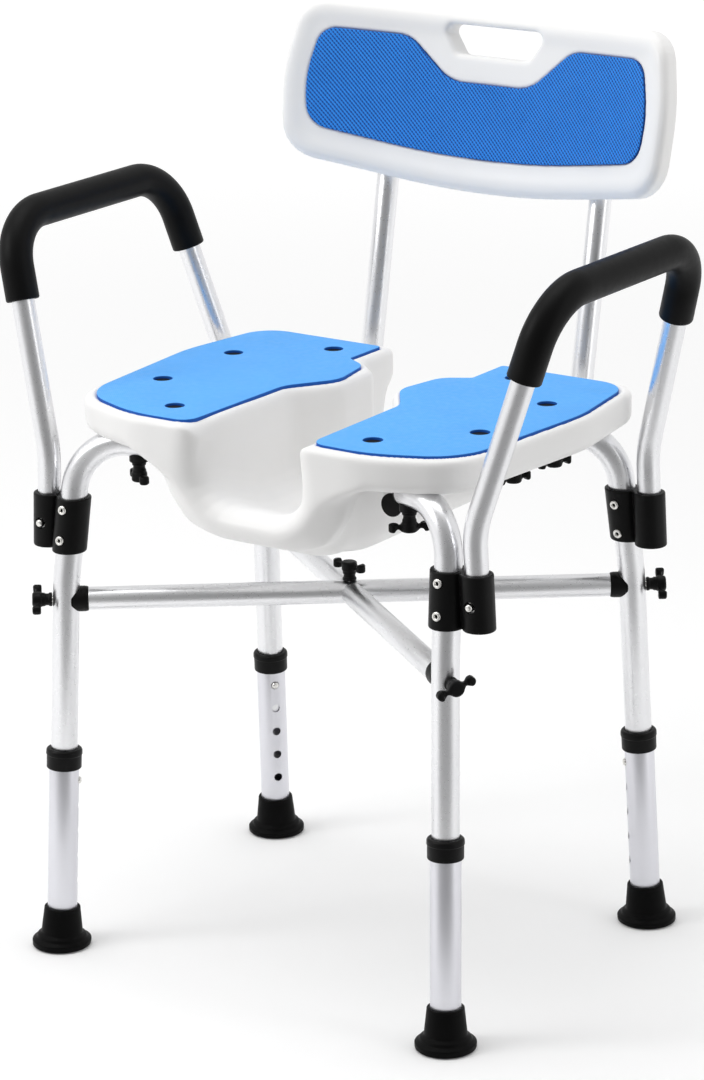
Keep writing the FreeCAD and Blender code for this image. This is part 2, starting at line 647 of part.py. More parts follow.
def back_panel():
    """The backrest shell, with the grab hole and two bosses that hold the tubes."""
    outline = both_sides([(50, 685, 860), (214, 704, 38), (220, 786, 200), (206, 858, 32)])
    window = both_sides([(41, 817, 10), (60, 845, 10)])
    prism = upright_prism(outline, 0, 400).common(curved_wall(0, BACK_THICK))
    prism = prism.cut(upright_prism(window, 0, 400))
    panel = lean_back(prism.cut(pad_prism()))
    for sx in SIDES.values():
        low, high = back_line(BACK_BOSS_LOW, sx), back_line(BACK_BOSS_HIGH, sx)
        panel = panel.fuse(rod(low, high, BACK_BOSS_R))
    for sx in SIDES.values():
        low, high = back_line(BACK_BOSS_LOW - PAST, sx), back_line(BACK_TUBE_TOP, sx)
        panel = panel.cut(rod(low, high, SMALL_TUBE_R))
        for z in BACK_SCREW_Z:
            middle = back_line(z, sx)
            panel = drill(panel, middle, middle + BACK_OUT * PAST, SCREW_R)
    return max(panel.Solids, key=lambda solid: solid.Volume)


def pad_prism():
    outline = both_sides([(56, 718, 860), (188, 734, 24), (194, 780, 120), (182, 830, 20),
                          (93, 830, 24), (46, 790, 28)])
    return upright_prism(outline, 0, 400).common(curved_wall(-1.5, 2.5))


def back_screws():
    screws = []
    for sx in SIDES.values():
        for z in BACK_SCREW_Z:
            middle = back_line(z, sx)
            head_foot = middle + BACK_OUT * BACK_BOSS_R
            shank = rod(middle + BACK_OUT * 6, head_foot, SCREW_R)
            head = rod(head_foot + BACK_OUT * 0.4, head_foot + BACK_OUT * SCREW_HEAD_H, SCREW_HEAD_R)
            neck = rod(head_foot, head_foot + BACK_OUT, SCREW_R)
            screws.append(shank.fuse([neck, head]))
    return screws


def end_plug(centre, out, outer, bore):
    """A plastic plug in an open tube end, with a thin flange over its rim."""
    flange = rod(centre, centre + out * PLUG_FLANGE, outer)
    return flange.fuse(rod(centre - out * PLUG_REACH, centre, bore))


def end_plugs():
    plugs = []
    for sx, sy in CORNERS.values():
        _, _, top, end = leg_points(sx, sy)
        stud = V(sx * SEAT_KNOB_X, sy * SEAT_KNOB_Y, LEG_TOP.z)
        plug = end_plug(end, unit(end - top), UPPER_LEG_R, UPPER_LEG_BORE)
        plugs.append(drill(plug, stud - V(0, 0, PAST), stud + V(0, 0, PAST), STUD_HOLE_R))
    for sx in SIDES.values():
        front = back_points(sx)[0]
        plugs.append(end_plug(front, V(0, -1, 0), SMALL_TUBE_R, SMALL_TUBE_BORE))
    return plugs


# ---------------------------------------------------------------- the whole chair
BRACE_KNOB_TURNS = {"front_left": 75, "front_right": 103, "rear_left": 155, "rear_right": 10}
SEAT_KNOB_TURNS = {"front_left": 135, "front_right": 35, "rear_left": 110, "rear_right": 70}
RAIL_KNOB_TURNS = {"left": 110, "right": 80}

for name, (sx, sy) in CORNERS.items():
    add(f"leg_upper_{name}", upper_leg(sx, sy))
    add(f"leg_lower_{name}", lower_leg(sx, sy))
    add(f"leg_collar_{name}", leg_collar(sx, sy))
    add(f"foot_{name}", foot_tip(sx, sy))
    add(f"leg_button_{name}", leg_button(sx, sy))
    add(f"arm_socket_{name}", arm_socket(sx, sy))
    add(f"arm_button_{name}", arm_button(sx, sy))
    add(f"brace_knob_{name}", brace_knob(sx, sy, BRACE_KNOB_TURNS[name]))
    add(f"seat_knob_{name}", leg_seat_knob(sx, sy, SEAT_KNOB_TURNS[name]))

for name, sx in SIDES.items():
    add(f"arm_tube_{name}", arm_tube(sx))
    add(f"arm_grip_{name}", arm_grip(sx))
    add(f"back_tube_{name}", back_tube(sx))
    add(f"rail_knob_{name}", rail_seat_knob(sx, RAIL_KNOB_TURNS[name]))

left_pad, right_pad = seat_pads()
add("seat_pad_left", left_pad)
add("seat_pad_right", right_pad)
add("seat_shell", seat_shell())
add("seat_inserts", *seat_inserts())
add("seat_knob_saddles", *[seat_knob_saddle(sx, sy) for sx, sy in CORNERS.values()])
add("back_panel", back_panel())
add("back_pad", lean_back(pad_prism()))
add("back_screws", *back_screws())
add("tube_end_plugs", *end_plugs())
add("socket_rivets", *[rivet(upper_leg_line(z, sx, sy), rivet_way(sx, sy))
                       for sx, sy in CORNERS.values() for z in RIVET_Z])
add("brace_long", long_brace())
add("brace_half_front", half_brace(1, -1))
add("brace_half_rear", half_brace(-1, 1))
add("brace_spigot", brace_spigot())
add("brace_saddles", *[brace_saddle(sx, sy) for sx, sy in CORNERS.values()])
add("centre_knob", t_knob(V(0, 0, BRACE_Z + SMALL_TUBE_R + CLEAR), V(0, 0, 1), CENTRE_STUD, CENTRE_TURN))

whole = FreeCAD.BoundBox()
for shape in PARTS.values():
    whole.add(shape.BoundBox)
os.makedirs("parts", exist_ok=True)
for name, shape in PARTS.items():
    placed = shape.copy()
    placed.translate(V(0, -whole.Center.y, 0))
    placed.exportStep(f"parts/{name}.step")
print(f"{len(PARTS)} sub-parts, moved forward by {whole.Center.y:.3f} mm, size {whole}")
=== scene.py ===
"""Looks of the shower chair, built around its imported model.

Shapes are drawn in millimetres about the vertical line midway between the four feet, as the
design is, and put in metres at the end. +Z is up and the sitter faces -Y.
"""
import math

import bmesh
import bpy
import numpy as np
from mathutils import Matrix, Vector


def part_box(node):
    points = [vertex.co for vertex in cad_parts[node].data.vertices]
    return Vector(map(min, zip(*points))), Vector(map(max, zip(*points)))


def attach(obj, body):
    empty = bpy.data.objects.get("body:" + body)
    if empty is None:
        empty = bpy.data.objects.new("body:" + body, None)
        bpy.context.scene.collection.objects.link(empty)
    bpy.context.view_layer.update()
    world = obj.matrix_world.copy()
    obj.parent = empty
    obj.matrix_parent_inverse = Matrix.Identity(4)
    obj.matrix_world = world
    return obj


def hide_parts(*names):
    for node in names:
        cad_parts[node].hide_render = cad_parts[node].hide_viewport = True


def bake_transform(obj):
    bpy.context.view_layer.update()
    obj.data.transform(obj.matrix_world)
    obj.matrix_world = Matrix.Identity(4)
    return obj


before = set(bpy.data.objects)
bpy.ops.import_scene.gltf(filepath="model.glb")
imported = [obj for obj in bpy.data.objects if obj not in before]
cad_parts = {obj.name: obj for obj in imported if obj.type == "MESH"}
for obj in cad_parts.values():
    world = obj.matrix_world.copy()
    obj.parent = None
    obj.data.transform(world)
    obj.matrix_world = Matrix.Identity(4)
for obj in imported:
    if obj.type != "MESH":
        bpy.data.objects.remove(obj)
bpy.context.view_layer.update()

import openvdb
from mathutils import Matrix, Vector, geometry

MM = 0.001
FEET_MIDDLE_Y = (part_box("foot_front_left")[0].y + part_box("foot_rear_left")[1].y) / 2
SIDES = {"left": 1, "right": -1}
ENDS = {"front": -1, "rear": 1}
CORNERS = {f"{e}_{s}": (sx, sy) for e, sy in ENDS.items() for s, sx in SIDES.items()}
ROUND = 72
FINE = 1.0

# ---- sizes shared with the design ----
UPPER_R, UPPER_BORE = 12.7, 11.4
LOWER_R, LOWER_BORE = 14.3, 13.0
SMALL_R, SMALL_BORE = 11.0, 9.8
FOOT = np.array([222.2, 177.5, 0.0])
KINK = np.array([214.2, 159.6, 360.0])
LEG_TOP = np.array([208.0, 140.3, 500.0])
SEAT_KNOB = np.array([152.0, 122.0, 500.0])
LEG_END_X, UPPER_BOTTOM = 146.0, 128.0
KINK_RADIUS, TOP_RADIUS = 200.0, 52.0
BRACE_Z = 347.0
COLLAR_LOW, COLLAR_TOP, COLLAR_R = 180.0, 200.0, 17.2
BUTTON_Z, HOLE_PITCH, HOLE_COUNT, HOLE_R, BUTTON_R = 167.0, 25.4, 5, 4.2, 3.6
ARM_X, ARM_Y, ARM_LEAN, ARM_SOCKET_Z = 241.2, 147.5, -0.0444, 420.0
ARM_END_Z, ARM_BEND_Z = 399.0, 485.0
ARM_TOP = np.array([299.5, 119.5, 696.0])
ARM_LOW_RADIUS, ARM_HIGH_RADIUS = 90.0, 52.0
GRIP_R, GRIP_END_Z = 16.0, 622.0
CLAMP_LOW, CLAMP_HIGH, CLAMP_LEG_R, CLAMP_ARM_R = 394.0, 446.0, 16.5, 15.2
RIVET_Z, ARM_BUTTON_Z = (405.0, 434.0), 418.0
SEAT_LOW, SEAT_HIGH, PAD_LOW, PAD_HIGH = 506.0, 540.0, 537.5, 541.5
SEAT_FRONT, SEAT_REAR = -168.0, 171.0
TROUGH_FLOOR, TROUGH_LIP, TROUGH_LOW, TROUGH_HALF = 441.0, 463.0, 408.0, 61.0
PAD_HOLES, PAD_HOLE_R = ((179, 66), (179, -47), (111, -118), (104, 128)), 9.2
BACK_CURVE_R, BACK_FACE_Y, BACK_FACE_Z, BACK_THICK = 600.0, 247.5, 780.0, 24.0
BACK_LEAN = math.atan(0.195)
BACK_TUBE_X, BACK_TUBE_Y, BACK_TUBE_TOP = 122.0, 270.2, 806.0
RAIL_Z, RAIL_FRONT_Y, RAIL_RADIUS = 479.0, -105.0, 55.0
RAIL_KNOB_Y, RAIL_REST_Y = 98.0, -78.0
SADDLE_LENGTH = 8.5
FOOT_SOLE, FOOT_TALL, COLLAR_CAP = 9.0, 39.5, 3.0
BORE_REACH, SCREW_BORE_R, SCREW_REACH, NIB_STANDING = 20, 3.3, 16, 2.4
BACK_TUBE_DEPTH, KNOB_GAP, WASHER = 34.1, 0.3, 5.0
BRACE_STUD, SEAT_STUD, CENTRE_STUD, STUD_R = 53, 36, 13, 3.0
RELEASE_R, BED_GAP = 5.2, 0.6


# ---- points and lines ----
def unit(v):
    v = np.asarray(v, float)
    return v / np.linalg.norm(v)


def corner(point, sx, sy):
    """A point of the front-left pattern, carried to the corner with these signs."""
    return np.array([sx * point[0], sy * point[1], point[2]])


def along(start, end, height):
    """The point of the line from start to end that is at this height."""
    return start + (end - start) * ((height - start[2]) / (end[2] - start[2]))


def bent_line(points, radii, turn_step=3.0):
    """Points along straight runs joined by tangent arcs."""
    line = [points[0]]
    for before, here, after, radius in zip(points, points[1:], points[2:], radii):
        a, b = unit(here - before), unit(after - here)
        turn = math.acos(np.clip(a @ b, -1, 1))
        centre = here + unit(b - a) * (radius / math.cos(turn / 2))
        spoke = unit(here - a * radius * math.tan(turn / 2) - centre)
        steps = max(2, math.ceil(math.degrees(turn) / turn_step))
        for angle in np.linspace(0, turn, steps + 1):
            line.append(centre + radius * (spoke * math.cos(angle) + a * math.sin(angle)))
    return line + [points[-1]]


def leg_points(sx, sy):
    end = LEG_TOP + (SEAT_KNOB - LEG_TOP) * ((LEG_TOP[0] - LEG_END_X) / (LEG_TOP[0] - SEAT_KNOB[0]))
    pattern = (along(FOOT, KINK, UPPER_BOTTOM), KINK, LEG_TOP, end)
    return [corner(p, sx, sy) for p in pattern]


def leg_at(height, sx, sy):
    """A point on the straight lower run of a leg."""
    return corner(along(FOOT, KINK, height), sx, sy)


def upper_leg_at(height, sx, sy):
    """A point on the straight run of a leg above its kink."""
    return corner(along(KINK, LEG_TOP, height), sx, sy)


def arm_at(height, sx, sy):
    """A point on the centre line of an arm socket."""
    return corner((ARM_X + ARM_LEAN * (height - ARM_SOCKET_Z), ARM_Y, height), sx, sy)


def arm_points(sx):
    front = [arm_at(ARM_END_Z, sx, -1), arm_at(ARM_BEND_Z, sx, -1), corner(ARM_TOP, sx, -1)]
    rear = [corner(ARM_TOP, sx, 1), arm_at(ARM_BEND_Z, sx, 1), arm_at(ARM_END_Z, sx, 1)]
    return front + rear


def back_at(height, sx):
    """A point on the leaning centre line of a back tube."""
    y = BACK_TUBE_Y + (height - BACK_FACE_Z) * math.tan(BACK_LEAN)
    return np.array([sx * BACK_TUBE_X, y, height])


def brace_line(sx, sy):
    """The leg's centre at brace height, and the way outward from the crossing."""
    centre = leg_at(BRACE_Z, sx, sy)
    return centre, unit((centre[0], centre[1], 0))


def brace_inner(sx, sy):
    """Where a brace tube stops, at the flange of its end saddle."""
    centre, out = brace_line(sx, sy)
    return centre - out * (UPPER_R + SADDLE_LENGTH)


def leg_way(sx, sy):
    """Up along the straight lower run of a leg."""
    return unit(leg_at(300, sx, sy) - leg_at(0, sx, sy))


def button_way(sx, sy):
    """From a leg inward to the middle of the chair, square to the leg."""
    axis = leg_way(sx, sy)
    inward = np.array([-sx * FOOT[0], -sy * FOOT[1], 0])
    return unit(inward - axis * (inward @ axis))


def rounded(corners, steps=6):
    """Points of a closed flat outline through (x, y, radius) corners."""
    outline = []
    for i, (x, y, radius) in enumerate(corners):
        here = np.array([x, y], float)
        if not radius:
            outline.append(here)
            continue
        a = unit(here - np.array(corners[i - 1][:2], float))
        b = unit(np.array(corners[(i + 1) % len(corners)][:2], float) - here)
        turn = math.acos(np.clip(a @ b, -1, 1))
        centre = here + unit(b - a) * (radius / math.cos(turn / 2))
        spoke = unit(here - a * radius * math.tan(turn / 2) - centre)
        for angle in np.linspace(0, turn, steps + 1):
            outline.append(centre + radius * (spoke * math.cos(angle) + a * math.sin(angle)))
    return np.array(outline)


def both_sides(right):
    """A whole set of outline corners from its right half, which runs from bottom to top."""
    return right + [(-x, y, r) for x, y, r in reversed(right)]


# ---- mesh building ----
def new_object(name, data):
    """An object of this data, in the scene."""
    thing = bpy.data.objects.new(name, data)
    bpy.context.scene.collection.objects.link(thing)
    return thing


def new_mesh(name, shape):
    """A mesh in metres, facing outward, from (points in millimetres, faces)."""
    points, faces = shape
    points = np.asarray(points, float) * MM
    points[:, 1] += FEET_MIDDLE_Y
    mesh = bpy.data.meshes.new(name)
    mesh.from_pydata(points.tolist(), [], [list(map(int, f)) for f in faces])
    tidy = bmesh.new()
    tidy.from_mesh(mesh)
    bmesh.ops.recalc_face_normals(tidy, faces=tidy.faces)
    tidy.to_mesh(mesh)
    tidy.free()
    return mesh


def piece(name, shape, material, body, replaced=(), sharp=40.0):
    """One visible piece, from (points in millimetres, faces), on a body if it has only one."""
    mesh = new_mesh(name, shape)
    mesh.polygons.foreach_set("use_smooth", [True] * len(mesh.polygons))
    mesh.set_sharp_from_angle(angle=math.radians(sharp))
    mesh.materials.append(material)
    thing = new_object(name, mesh)
    if body:
        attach(thing, body)
    if replaced:
        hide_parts(*replaced)
    return thing


def joined(*shapes):
    """Several closed shapes as one set of points and faces."""
    points, faces, count = [], [], 0
    for some_points, some_faces in shapes:
        points.append(np.asarray(some_points, float))
        faces += [[i + count for i in face] for face in some_faces]
        count += len(some_points)
    return np.vstack(points), faces


def square_to(axis):
    """Two unit directions square to an axis and to each other."""
    side = unit(np.cross(axis, (0, 0, 1) if abs(axis[2]) < 0.9 else (0, 1, 0)))
    return side, np.cross(axis, side)


def ring(centre, side, other, radius, count):
    angles = np.linspace(0, 2 * math.pi, count, endpoint=False)[:, None]
    return centre + radius * (np.cos(angles) * side + np.sin(angles) * other)


def bands(rows, count, closed):
    """Quads between neighbouring rings of count points, and from the last to the first if closed."""
    faces = []
    for i in range(rows if closed else rows - 1):
        j = (i + 1) % rows
        for k in range(count):
            m = (k + 1) % count
            faces.append((i * count + k, i * count + m, j * count + m, j * count + k))
    return faces


def tube(line, outer, inner, edge=0.5):
    """A closed tube along a line of points, with slightly rounded rims."""
    line = [np.asarray(p, float) for p in line]
    ways = [unit(b - a) for a, b in zip(line, line[1:])]
    tangents = [ways[0]] + [unit(a + b) for a, b in zip(ways, ways[1:])] + [ways[-1]]
    side = square_to(tangents[0])[0]
    frames = []
    for point, tangent in zip(line, tangents):
        side = unit(side - tangent * (side @ tangent))
        frames.append((point, side, np.cross(tangent, side)))
    (start, s0, o0), (end, s1, o1) = frames[0], frames[-1]
    stations = [(start, s0, o0, outer - edge)]
    stations += [(start + ways[0] * edge * 0.3, s0, o0, outer - edge * 0.3)]
    stations += [(start + ways[0] * edge, s0, o0, outer)]
    stations += [(*f, outer) for f in frames[1:-1]]
    stations += [(end - ways[-1] * edge, s1, o1, outer)]
    stations += [(end - ways[-1] * edge * 0.3, s1, o1, outer - edge * 0.3), (end, s1, o1, outer - edge)]
    stations += [(end, s1, o1, inner)] + [(*f, inner) for f in reversed(frames[1:-1])]
    stations += [(start, s0, o0, inner)]
    points = np.vstack([ring(c, s, o, r, ROUND) for c, s, o, r in stations])
    return points, bands(len(stations), ROUND, True)


def lathe(profile, base, axis, count=None):
    """A turned shape: a (radius, height) profile round an axis, closed at the axis or a ring."""
    count = count or ROUND
    axis = unit(axis)
    side, other = square_to(axis)
    on_axis = abs(profile[0][0]) < 1e-6 and abs(profile[-1][0]) < 1e-6
    rings = profile[1:-1] if on_axis else profile
    points = [ring(base + axis * h, side, other, r, count) for r, h in rings]
    faces = bands(len(rings), count, not on_axis)
    if on_axis:
        points.append([base + axis * profile[0][1], base + axis * profile[-1][1]])
        low, top = len(rings) * count, (len(rings) - 1) * count
        for k in range(count):
            m = (k + 1) % count
            faces += [(m, k, low), (top + k, top + m, low + 1)]
    return np.vstack(points), faces


def field_mesh(field, low, step):
    """The zero surface of a distance field that was sampled from low, step apart."""
    grid = openvdb.FloatGrid(50.0)
    grid.copyFromArray(np.ascontiguousarray(field, np.float32))
    points, quads = grid.convertToQuads(0.0)
    return points * step + np.asarray(low, float), quads.tolist()


def axes(low, high, step):
    """Open coordinate arrays of a box, for a distance field."""
    spans = [np.arange(a, b + step, step) for a, b in zip(low, high)]
    return np.meshgrid(*spans, indexing="ij", sparse=True)


def smooth_min(a, b, k):
    h = np.clip(0.5 + 0.5 * (b - a) / k, 0, 1)
    return b * (1 - h) + a * h - k * h * (1 - h)


def smooth_max(a, b, k):
    return -smooth_min(-a, -b, k)


def outline_distance(outline, x, y):
    """Signed distance to a closed outline, negative inside."""
    x, y = np.broadcast_arrays(x, y)
    best, inside = np.full(x.shape, 1e9), np.zeros(x.shape, bool)
    for (ax, ay), (bx, by) in zip(outline, np.roll(outline, -1, 0)):
        ex, ey = bx - ax, by - ay
        t = np.clip(((x - ax) * ex + (y - ay) * ey) / (ex * ex + ey * ey + 1e-12), 0, 1)
        best = np.minimum(best, (x - ax - t * ex) ** 2 + (y - ay - t * ey) ** 2)
        beyond = ax + ex * (y - ay) / (ey if abs(ey) > 1e-9 else 1e-9)
        inside ^= ((ay > y) != (by > y)) & (x < beyond)
    return np.where(inside, -1.0, 1.0) * np.sqrt(best)


def plate_field(flat, height, low, high, round_low, round_high):
    """An outline's distance carried between two heights, with rounded edges."""
    upper = height > (low + high) / 2
    radius = np.where(upper, round_high, round_low)
    a = flat + radius
    b = np.where(upper, height - high, low - height) + radius
    return np.minimum(np.maximum(a, b), 0) + np.hypot(np.maximum(a, 0), np.maximum(b, 0)) - radius


def line_distance(line, x, y, z):
    """Distance from a line of points in space."""
    best = 1e9
    for a, b in zip(line, line[1:]):
        e = b - a
        t = ((x - a[0]) * e[0] + (y - a[1]) * e[1] + (z - a[2]) * e[2]) / (e @ e)
        t = np.clip(t, 0, 1)
        gap = (x - a[0] - t * e[0]) ** 2 + (y - a[1] - t * e[1]) ** 2 + (z - a[2] - t * e[2]) ** 2
        best = np.minimum(best, gap)
    return np.sqrt(best)


def smoothstep(low, high, value):
    t = np.clip((value - low) / (high - low), 0, 1)
    return t * t * (3 - 2 * t)


# ---- materials ----
class Graph:
    """The shader nodes of a material or world, and short ways to add to them."""

    def __init__(self, owner, shader):
        owner.use_nodes = True
        self.owner, self.tree = owner, owner.node_tree
        self.shader = self.tree.nodes[shader]

    def feed(self, socket, value):
        """Links an output to an input, or sets the input to a plain value."""
        if isinstance(value, bpy.types.NodeSocket):
            self.tree.links.new(value, socket)
        else:
            socket.default_value = value

    def node(self, kind, **inputs):
        """A new node, with inputs given by name where _ stands for a space."""
        node = self.tree.nodes.new("ShaderNode" + kind)
        for name, value in inputs.items():
            self.feed(node.inputs[name.replace("_", " ")], value)
        return node

    def give(self, **inputs):
        """Feeds the shader itself."""
        for name, value in inputs.items():
            self.feed(self.shader.inputs[name.replace("_", " ")], value)

    def place(self, kind="Object"):
        return self.node("TexCoord").outputs[kind]

    def noise(self, scale, detail=3.0):
        """Noise over the object's own coordinates, in metres."""
        return self.node("TexNoise", Vector=self.place(), Scale=scale, Detail=detail).outputs["Fac"]

    def ramp(self, source, low, high, start=0.3, end=0.7):
        """Two colours or two grey values, blended by a source."""
        blend = self.node("ValToRGB", Fac=source)
        for element, value, position in zip(blend.color_ramp.elements, (low, high), (start, end)):
            element.position = position
            element.color = (*value, 1) if isinstance(value, tuple) else (value, value, value, 1)
        return blend.outputs["Color"]

    def bump(self, height, strength, distance):
        node = self.node("Bump", Strength=strength, Distance=distance, Height=height)
        self.give(Normal=node.outputs["Normal"])

    def sum(self, operation, *values, kind="Math"):
        """One sum over sockets or plain numbers, or over vectors with kind VectorMath."""
        node = self.node(kind)
        node.operation = operation
        for socket, value in zip(node.inputs, values):
            self.feed(socket, value)
        return node.outputs["Value"]

    def wave(self, source, pitch):
        """A cosine along one coordinate, once round in each pitch."""
        return self.sum("COSINE", self.sum("MULTIPLY", source, 2 * math.pi / pitch))

    def mix(self, kind, fac, first, second):
        """Two colours mixed, each a socket or a plain colour."""
        colours = [(*value, 1) if isinstance(value, tuple) else value for value in (first, second)]
        node = self.node("MixRGB", Fac=fac, Color1=colours[0], Color2=colours[1])
        node.blend_type = kind
        return node.outputs["Color"]

    def share(self, source, start, end, kind="SMOOTHSTEP"):
        """A source's rise from 0 at start to 1 at end."""
        node = self.node("MapRange")
        node.interpolation_type = kind
        node.inputs["From Min"].default_value = start
        node.inputs["From Max"].default_value = end
        self.feed(node.inputs["Value"], source)
        return node.outputs["Result"]

    def parts(self, source):
        """The X, Y and Z outputs of a vector."""
        return self.node("SeparateXYZ", Vector=source).outputs


def new_look(name, colour, roughness, metallic=0.0):
    """A Principled material's graph, to build on."""
    look = Graph(bpy.data.materials.new(name), "Principled BSDF")
    look.give(Base_Color=(*colour, 1), Roughness=roughness, Metallic=metallic)
    return look


def tube_metal(name, colour, dull, rough_low, rough_high):
    """Satin anodised tube: a fine even grain with a slightly uneven sheen."""
    look = new_look(name, colour, rough_low, 1.0)
    look.give(Base_Color=look.ramp(look.noise(14.0), dull, colour),
              Roughness=look.ramp(look.noise(420.0, 2.0), rough_low, rough_high))
    look.bump(look.noise(2200.0, 1.0), 0.06, 0.00006)
    return look.owner


def white_shell():
    """Blow-moulded polyethylene: soft gloss over a very fine orange peel."""
    look = new_look("white_shell", (0.885, 0.88, 0.872), 0.4)
    look.give(Base_Color=look.ramp(look.noise(9.0), (0.875, 0.87, 0.862), (0.89, 0.885, 0.877)),
              Roughness=look.ramp(look.noise(60.0), 0.36, 0.46), Specular_IOR_Level=0.42)
    look.bump(look.noise(700.0, 2.0), 0.1, 0.00025)
    return look.owner


def black_plastic(name, tone, rough_low, rough_high, grain, depth, shine):
    """Dark moulded plastic, rubber or foam with a fine spark-eroded or cellular grain."""
    dark, light = (tone, tone, tone), (tone * 1.35, tone * 1.35, tone * 1.4)
    look = new_look(name, dark, rough_low)
    look.give(Base_Color=look.ramp(look.noise(25.0, 4.0), dark, light),
              Roughness=look.ramp(look.noise(140.0), rough_low, rough_high), Specular_IOR_Level=shine)
    look.bump(look.noise(grain, 2.0), 0.3, depth)
    return look.owner


def embossed_foam(name, pit, top, edge, pitch, upright, depth, shares):
    """Blue foam sheet with crossing diagonal rows of small pits, with painted shade darkening the pits
    and the steep side walls.
    """
    look = new_look(name, top, 0.6)
    place = look.parts(look.place())
    across, upward = place["X"], place["Z" if upright else "Y"]
    falling = look.wave(look.sum("ADD", across, upward), pitch)
    rising = look.wave(look.sum("SUBTRACT", across, upward), pitch)
    relief = look.sum("ADD", falling, look.sum("MULTIPLY", rising, 0.5))
    cloud = look.ramp(look.noise(30.0), 0.95, 1.0)
    # The pits are coloured darker than the tops: painted shade in the pits.
    shade = look.mix("MULTIPLY", 1.0, look.ramp(relief, top, pit, *shares), cloud)
    # The steep side walls, found from the face direction, take the dark edge colour: painted shade on
    # the sheet's sides.
    facing = look.parts(look.node("NewGeometry").outputs["True Normal"])
    flat = look.sum("ABSOLUTE", facing["Y" if upright else "Z"])
    look.give(Base_Color=look.mix("MIX", look.ramp(flat, 0.0, 1.0, 0.35, 0.75), edge, shade),
              Roughness=look.ramp(look.noise(200.0), 0.5, 0.7), Specular_IOR_Level=0.2)
    look.bump(look.sum("MULTIPLY", relief, -1.0), 0.4, depth)
    return look.owner


def plated_steel():
    look = new_look("plated_steel", (0.78, 0.77, 0.74), 0.22, 1.0)
    look.give(Roughness=look.ramp(look.noise(500.0), 0.16, 0.34))
    look.bump(look.noise(1500.0), 0.15, 0.0001)
    return look.owner


ALUMINIUM = tube_metal("satin_aluminium", (0.85, 0.853, 0.865), (0.82, 0.823, 0.84), 0.27, 0.33)
# The lower leg sleeves get a darker, bluer copy of the tube aluminium: painted lavender shade and
# reflection.
SHADED_ALUMINIUM = tube_metal("shaded_aluminium", (0.76, 0.76, 0.80), (0.74, 0.74, 0.78), 0.36, 0.42)
WHITE = white_shell()
BLACK = black_plastic("black_nylon", 0.003, 0.36, 0.44, 1600.0, 0.00012, 0.13)
RUBBER = black_plastic("foot_rubber", 0.002, 0.42, 0.5, 1200.0, 0.00015, 0.06)
FOAM = black_plastic("grip_foam", 0.0025, 0.42, 0.48, 2600.0, 0.00008, 0.11)
# Near-black discs in the seat pad holes use this: painted shade in the holes, covering the white seat
# below.
HOLE_SHADE = black_plastic("painted_hole_shade", 0.006, 0.35, 0.45, 1600.0, 0.0001, 0.2)
SEAT_BLUE = embossed_foam("seat_foam", (0.10, 0.40, 0.90), (0.12, 0.44, 0.96), (0.01, 0.10, 0.45),
                          0.0026, False, 0.00008, (0.0, 1.0))
BACK_BLUE = embossed_foam("back_foam", (0.001, 0.035, 0.26), (0.03, 0.27, 0.84), (0.01, 0.10, 0.42),
                          0.0042, True, 0.0004, (0.15, 0.75))
STEEL = plated_steel()
BRASS = tube_metal("insert_brass", (0.75, 0.58, 0.28), (0.65, 0.5, 0.24), 0.25, 0.4)


# ---- legs ----
def drilled(thing, bores):
    """Cuts round holes, each from (centre, way, length, radius) in millimetres."""
    shapes = [lathe([(0, -0.5), (r, -0.5), (r, length), (0, length)], centre, way, 40)
              for centre, way, length, r in bores]
    tool = new_object("bores", new_mesh("bores", joined(*shapes)))
    cut = thing.modifiers.new("bores", "BOOLEAN")
    cut.operation, cut.solver, cut.object = "DIFFERENCE", "EXACT", tool
    bpy.context.view_layer.update()
    done = bpy.data.meshes.new_from_object(thing.evaluated_get(bpy.context.evaluated_depsgraph_get()))
    thing.modifiers.clear()
    thing.data = done
    bpy.data.objects.remove(tool)
    done.set_sharp_from_angle(angle=math.radians(40))


def make_upper_leg(name, sx, sy):
    line = bent_line(leg_points(sx, sy), [KINK_RADIUS, TOP_RADIUS])
    leg = piece(f"leg_tube_{name}", tube(line, UPPER_R, UPPER_BORE), ALUMINIUM, "frame",
                [f"leg_upper_{name}"])
    centre, out = brace_line(sx, sy)
    button = leg_at(BUTTON_Z, sx, sy)
    drilled(leg, [(centre - out * SCREW_REACH, out, 2 * SCREW_REACH, SCREW_BORE_R),
                  (button, button_way(sx, sy), BORE_REACH, HOLE_R)])


def make_lower_leg(name, sx, sy):
    line = [leg_at(FOOT_SOLE, sx, sy), leg_at(COLLAR_TOP - COLLAR_CAP, sx, sy)]
    # The sleeve's darker, bluer aluminium is painted shade and reflection.
    leg = piece(f"leg_sleeve_{name}", tube(line, LOWER_R, LOWER_BORE), SHADED_ALUMINIUM, f"leg_{name}",
                [f"leg_lower_{name}"])
    holes = [leg_at(BUTTON_Z - step * HOLE_PITCH, sx, sy) for step in range(HOLE_COUNT)]
    drilled(leg, [(hole, button_way(sx, sy), BORE_REACH, HOLE_R) for hole in holes])


def make_collar(name, sx, sy):
    """A moulded cap ring: a plain band under a slightly wider, rounded upper lip."""
    low, high = leg_at(COLLAR_LOW, sx, sy), leg_at(COLLAR_TOP, sx, sy)
    tall = np.linalg.norm(high - low)
    profile = rounded([
        (LOWER_R, 0, 0.4), (COLLAR_R - 0.5, 0, 1.2), (COLLAR_R - 0.4, 13.4, 0.4),
        (COLLAR_R + 0.2, 14.2, 0.5), (COLLAR_R, tall, 3.0), (LOWER_BORE, tall, 0.8),
        (LOWER_BORE, tall - COLLAR_CAP, 0.1), (LOWER_R, tall - COLLAR_CAP, 0.1)], 5)
    piece(f"collar_{name}", lathe(profile, low, high - low), BLACK, f"leg_{name}",
          [f"leg_collar_{name}"])


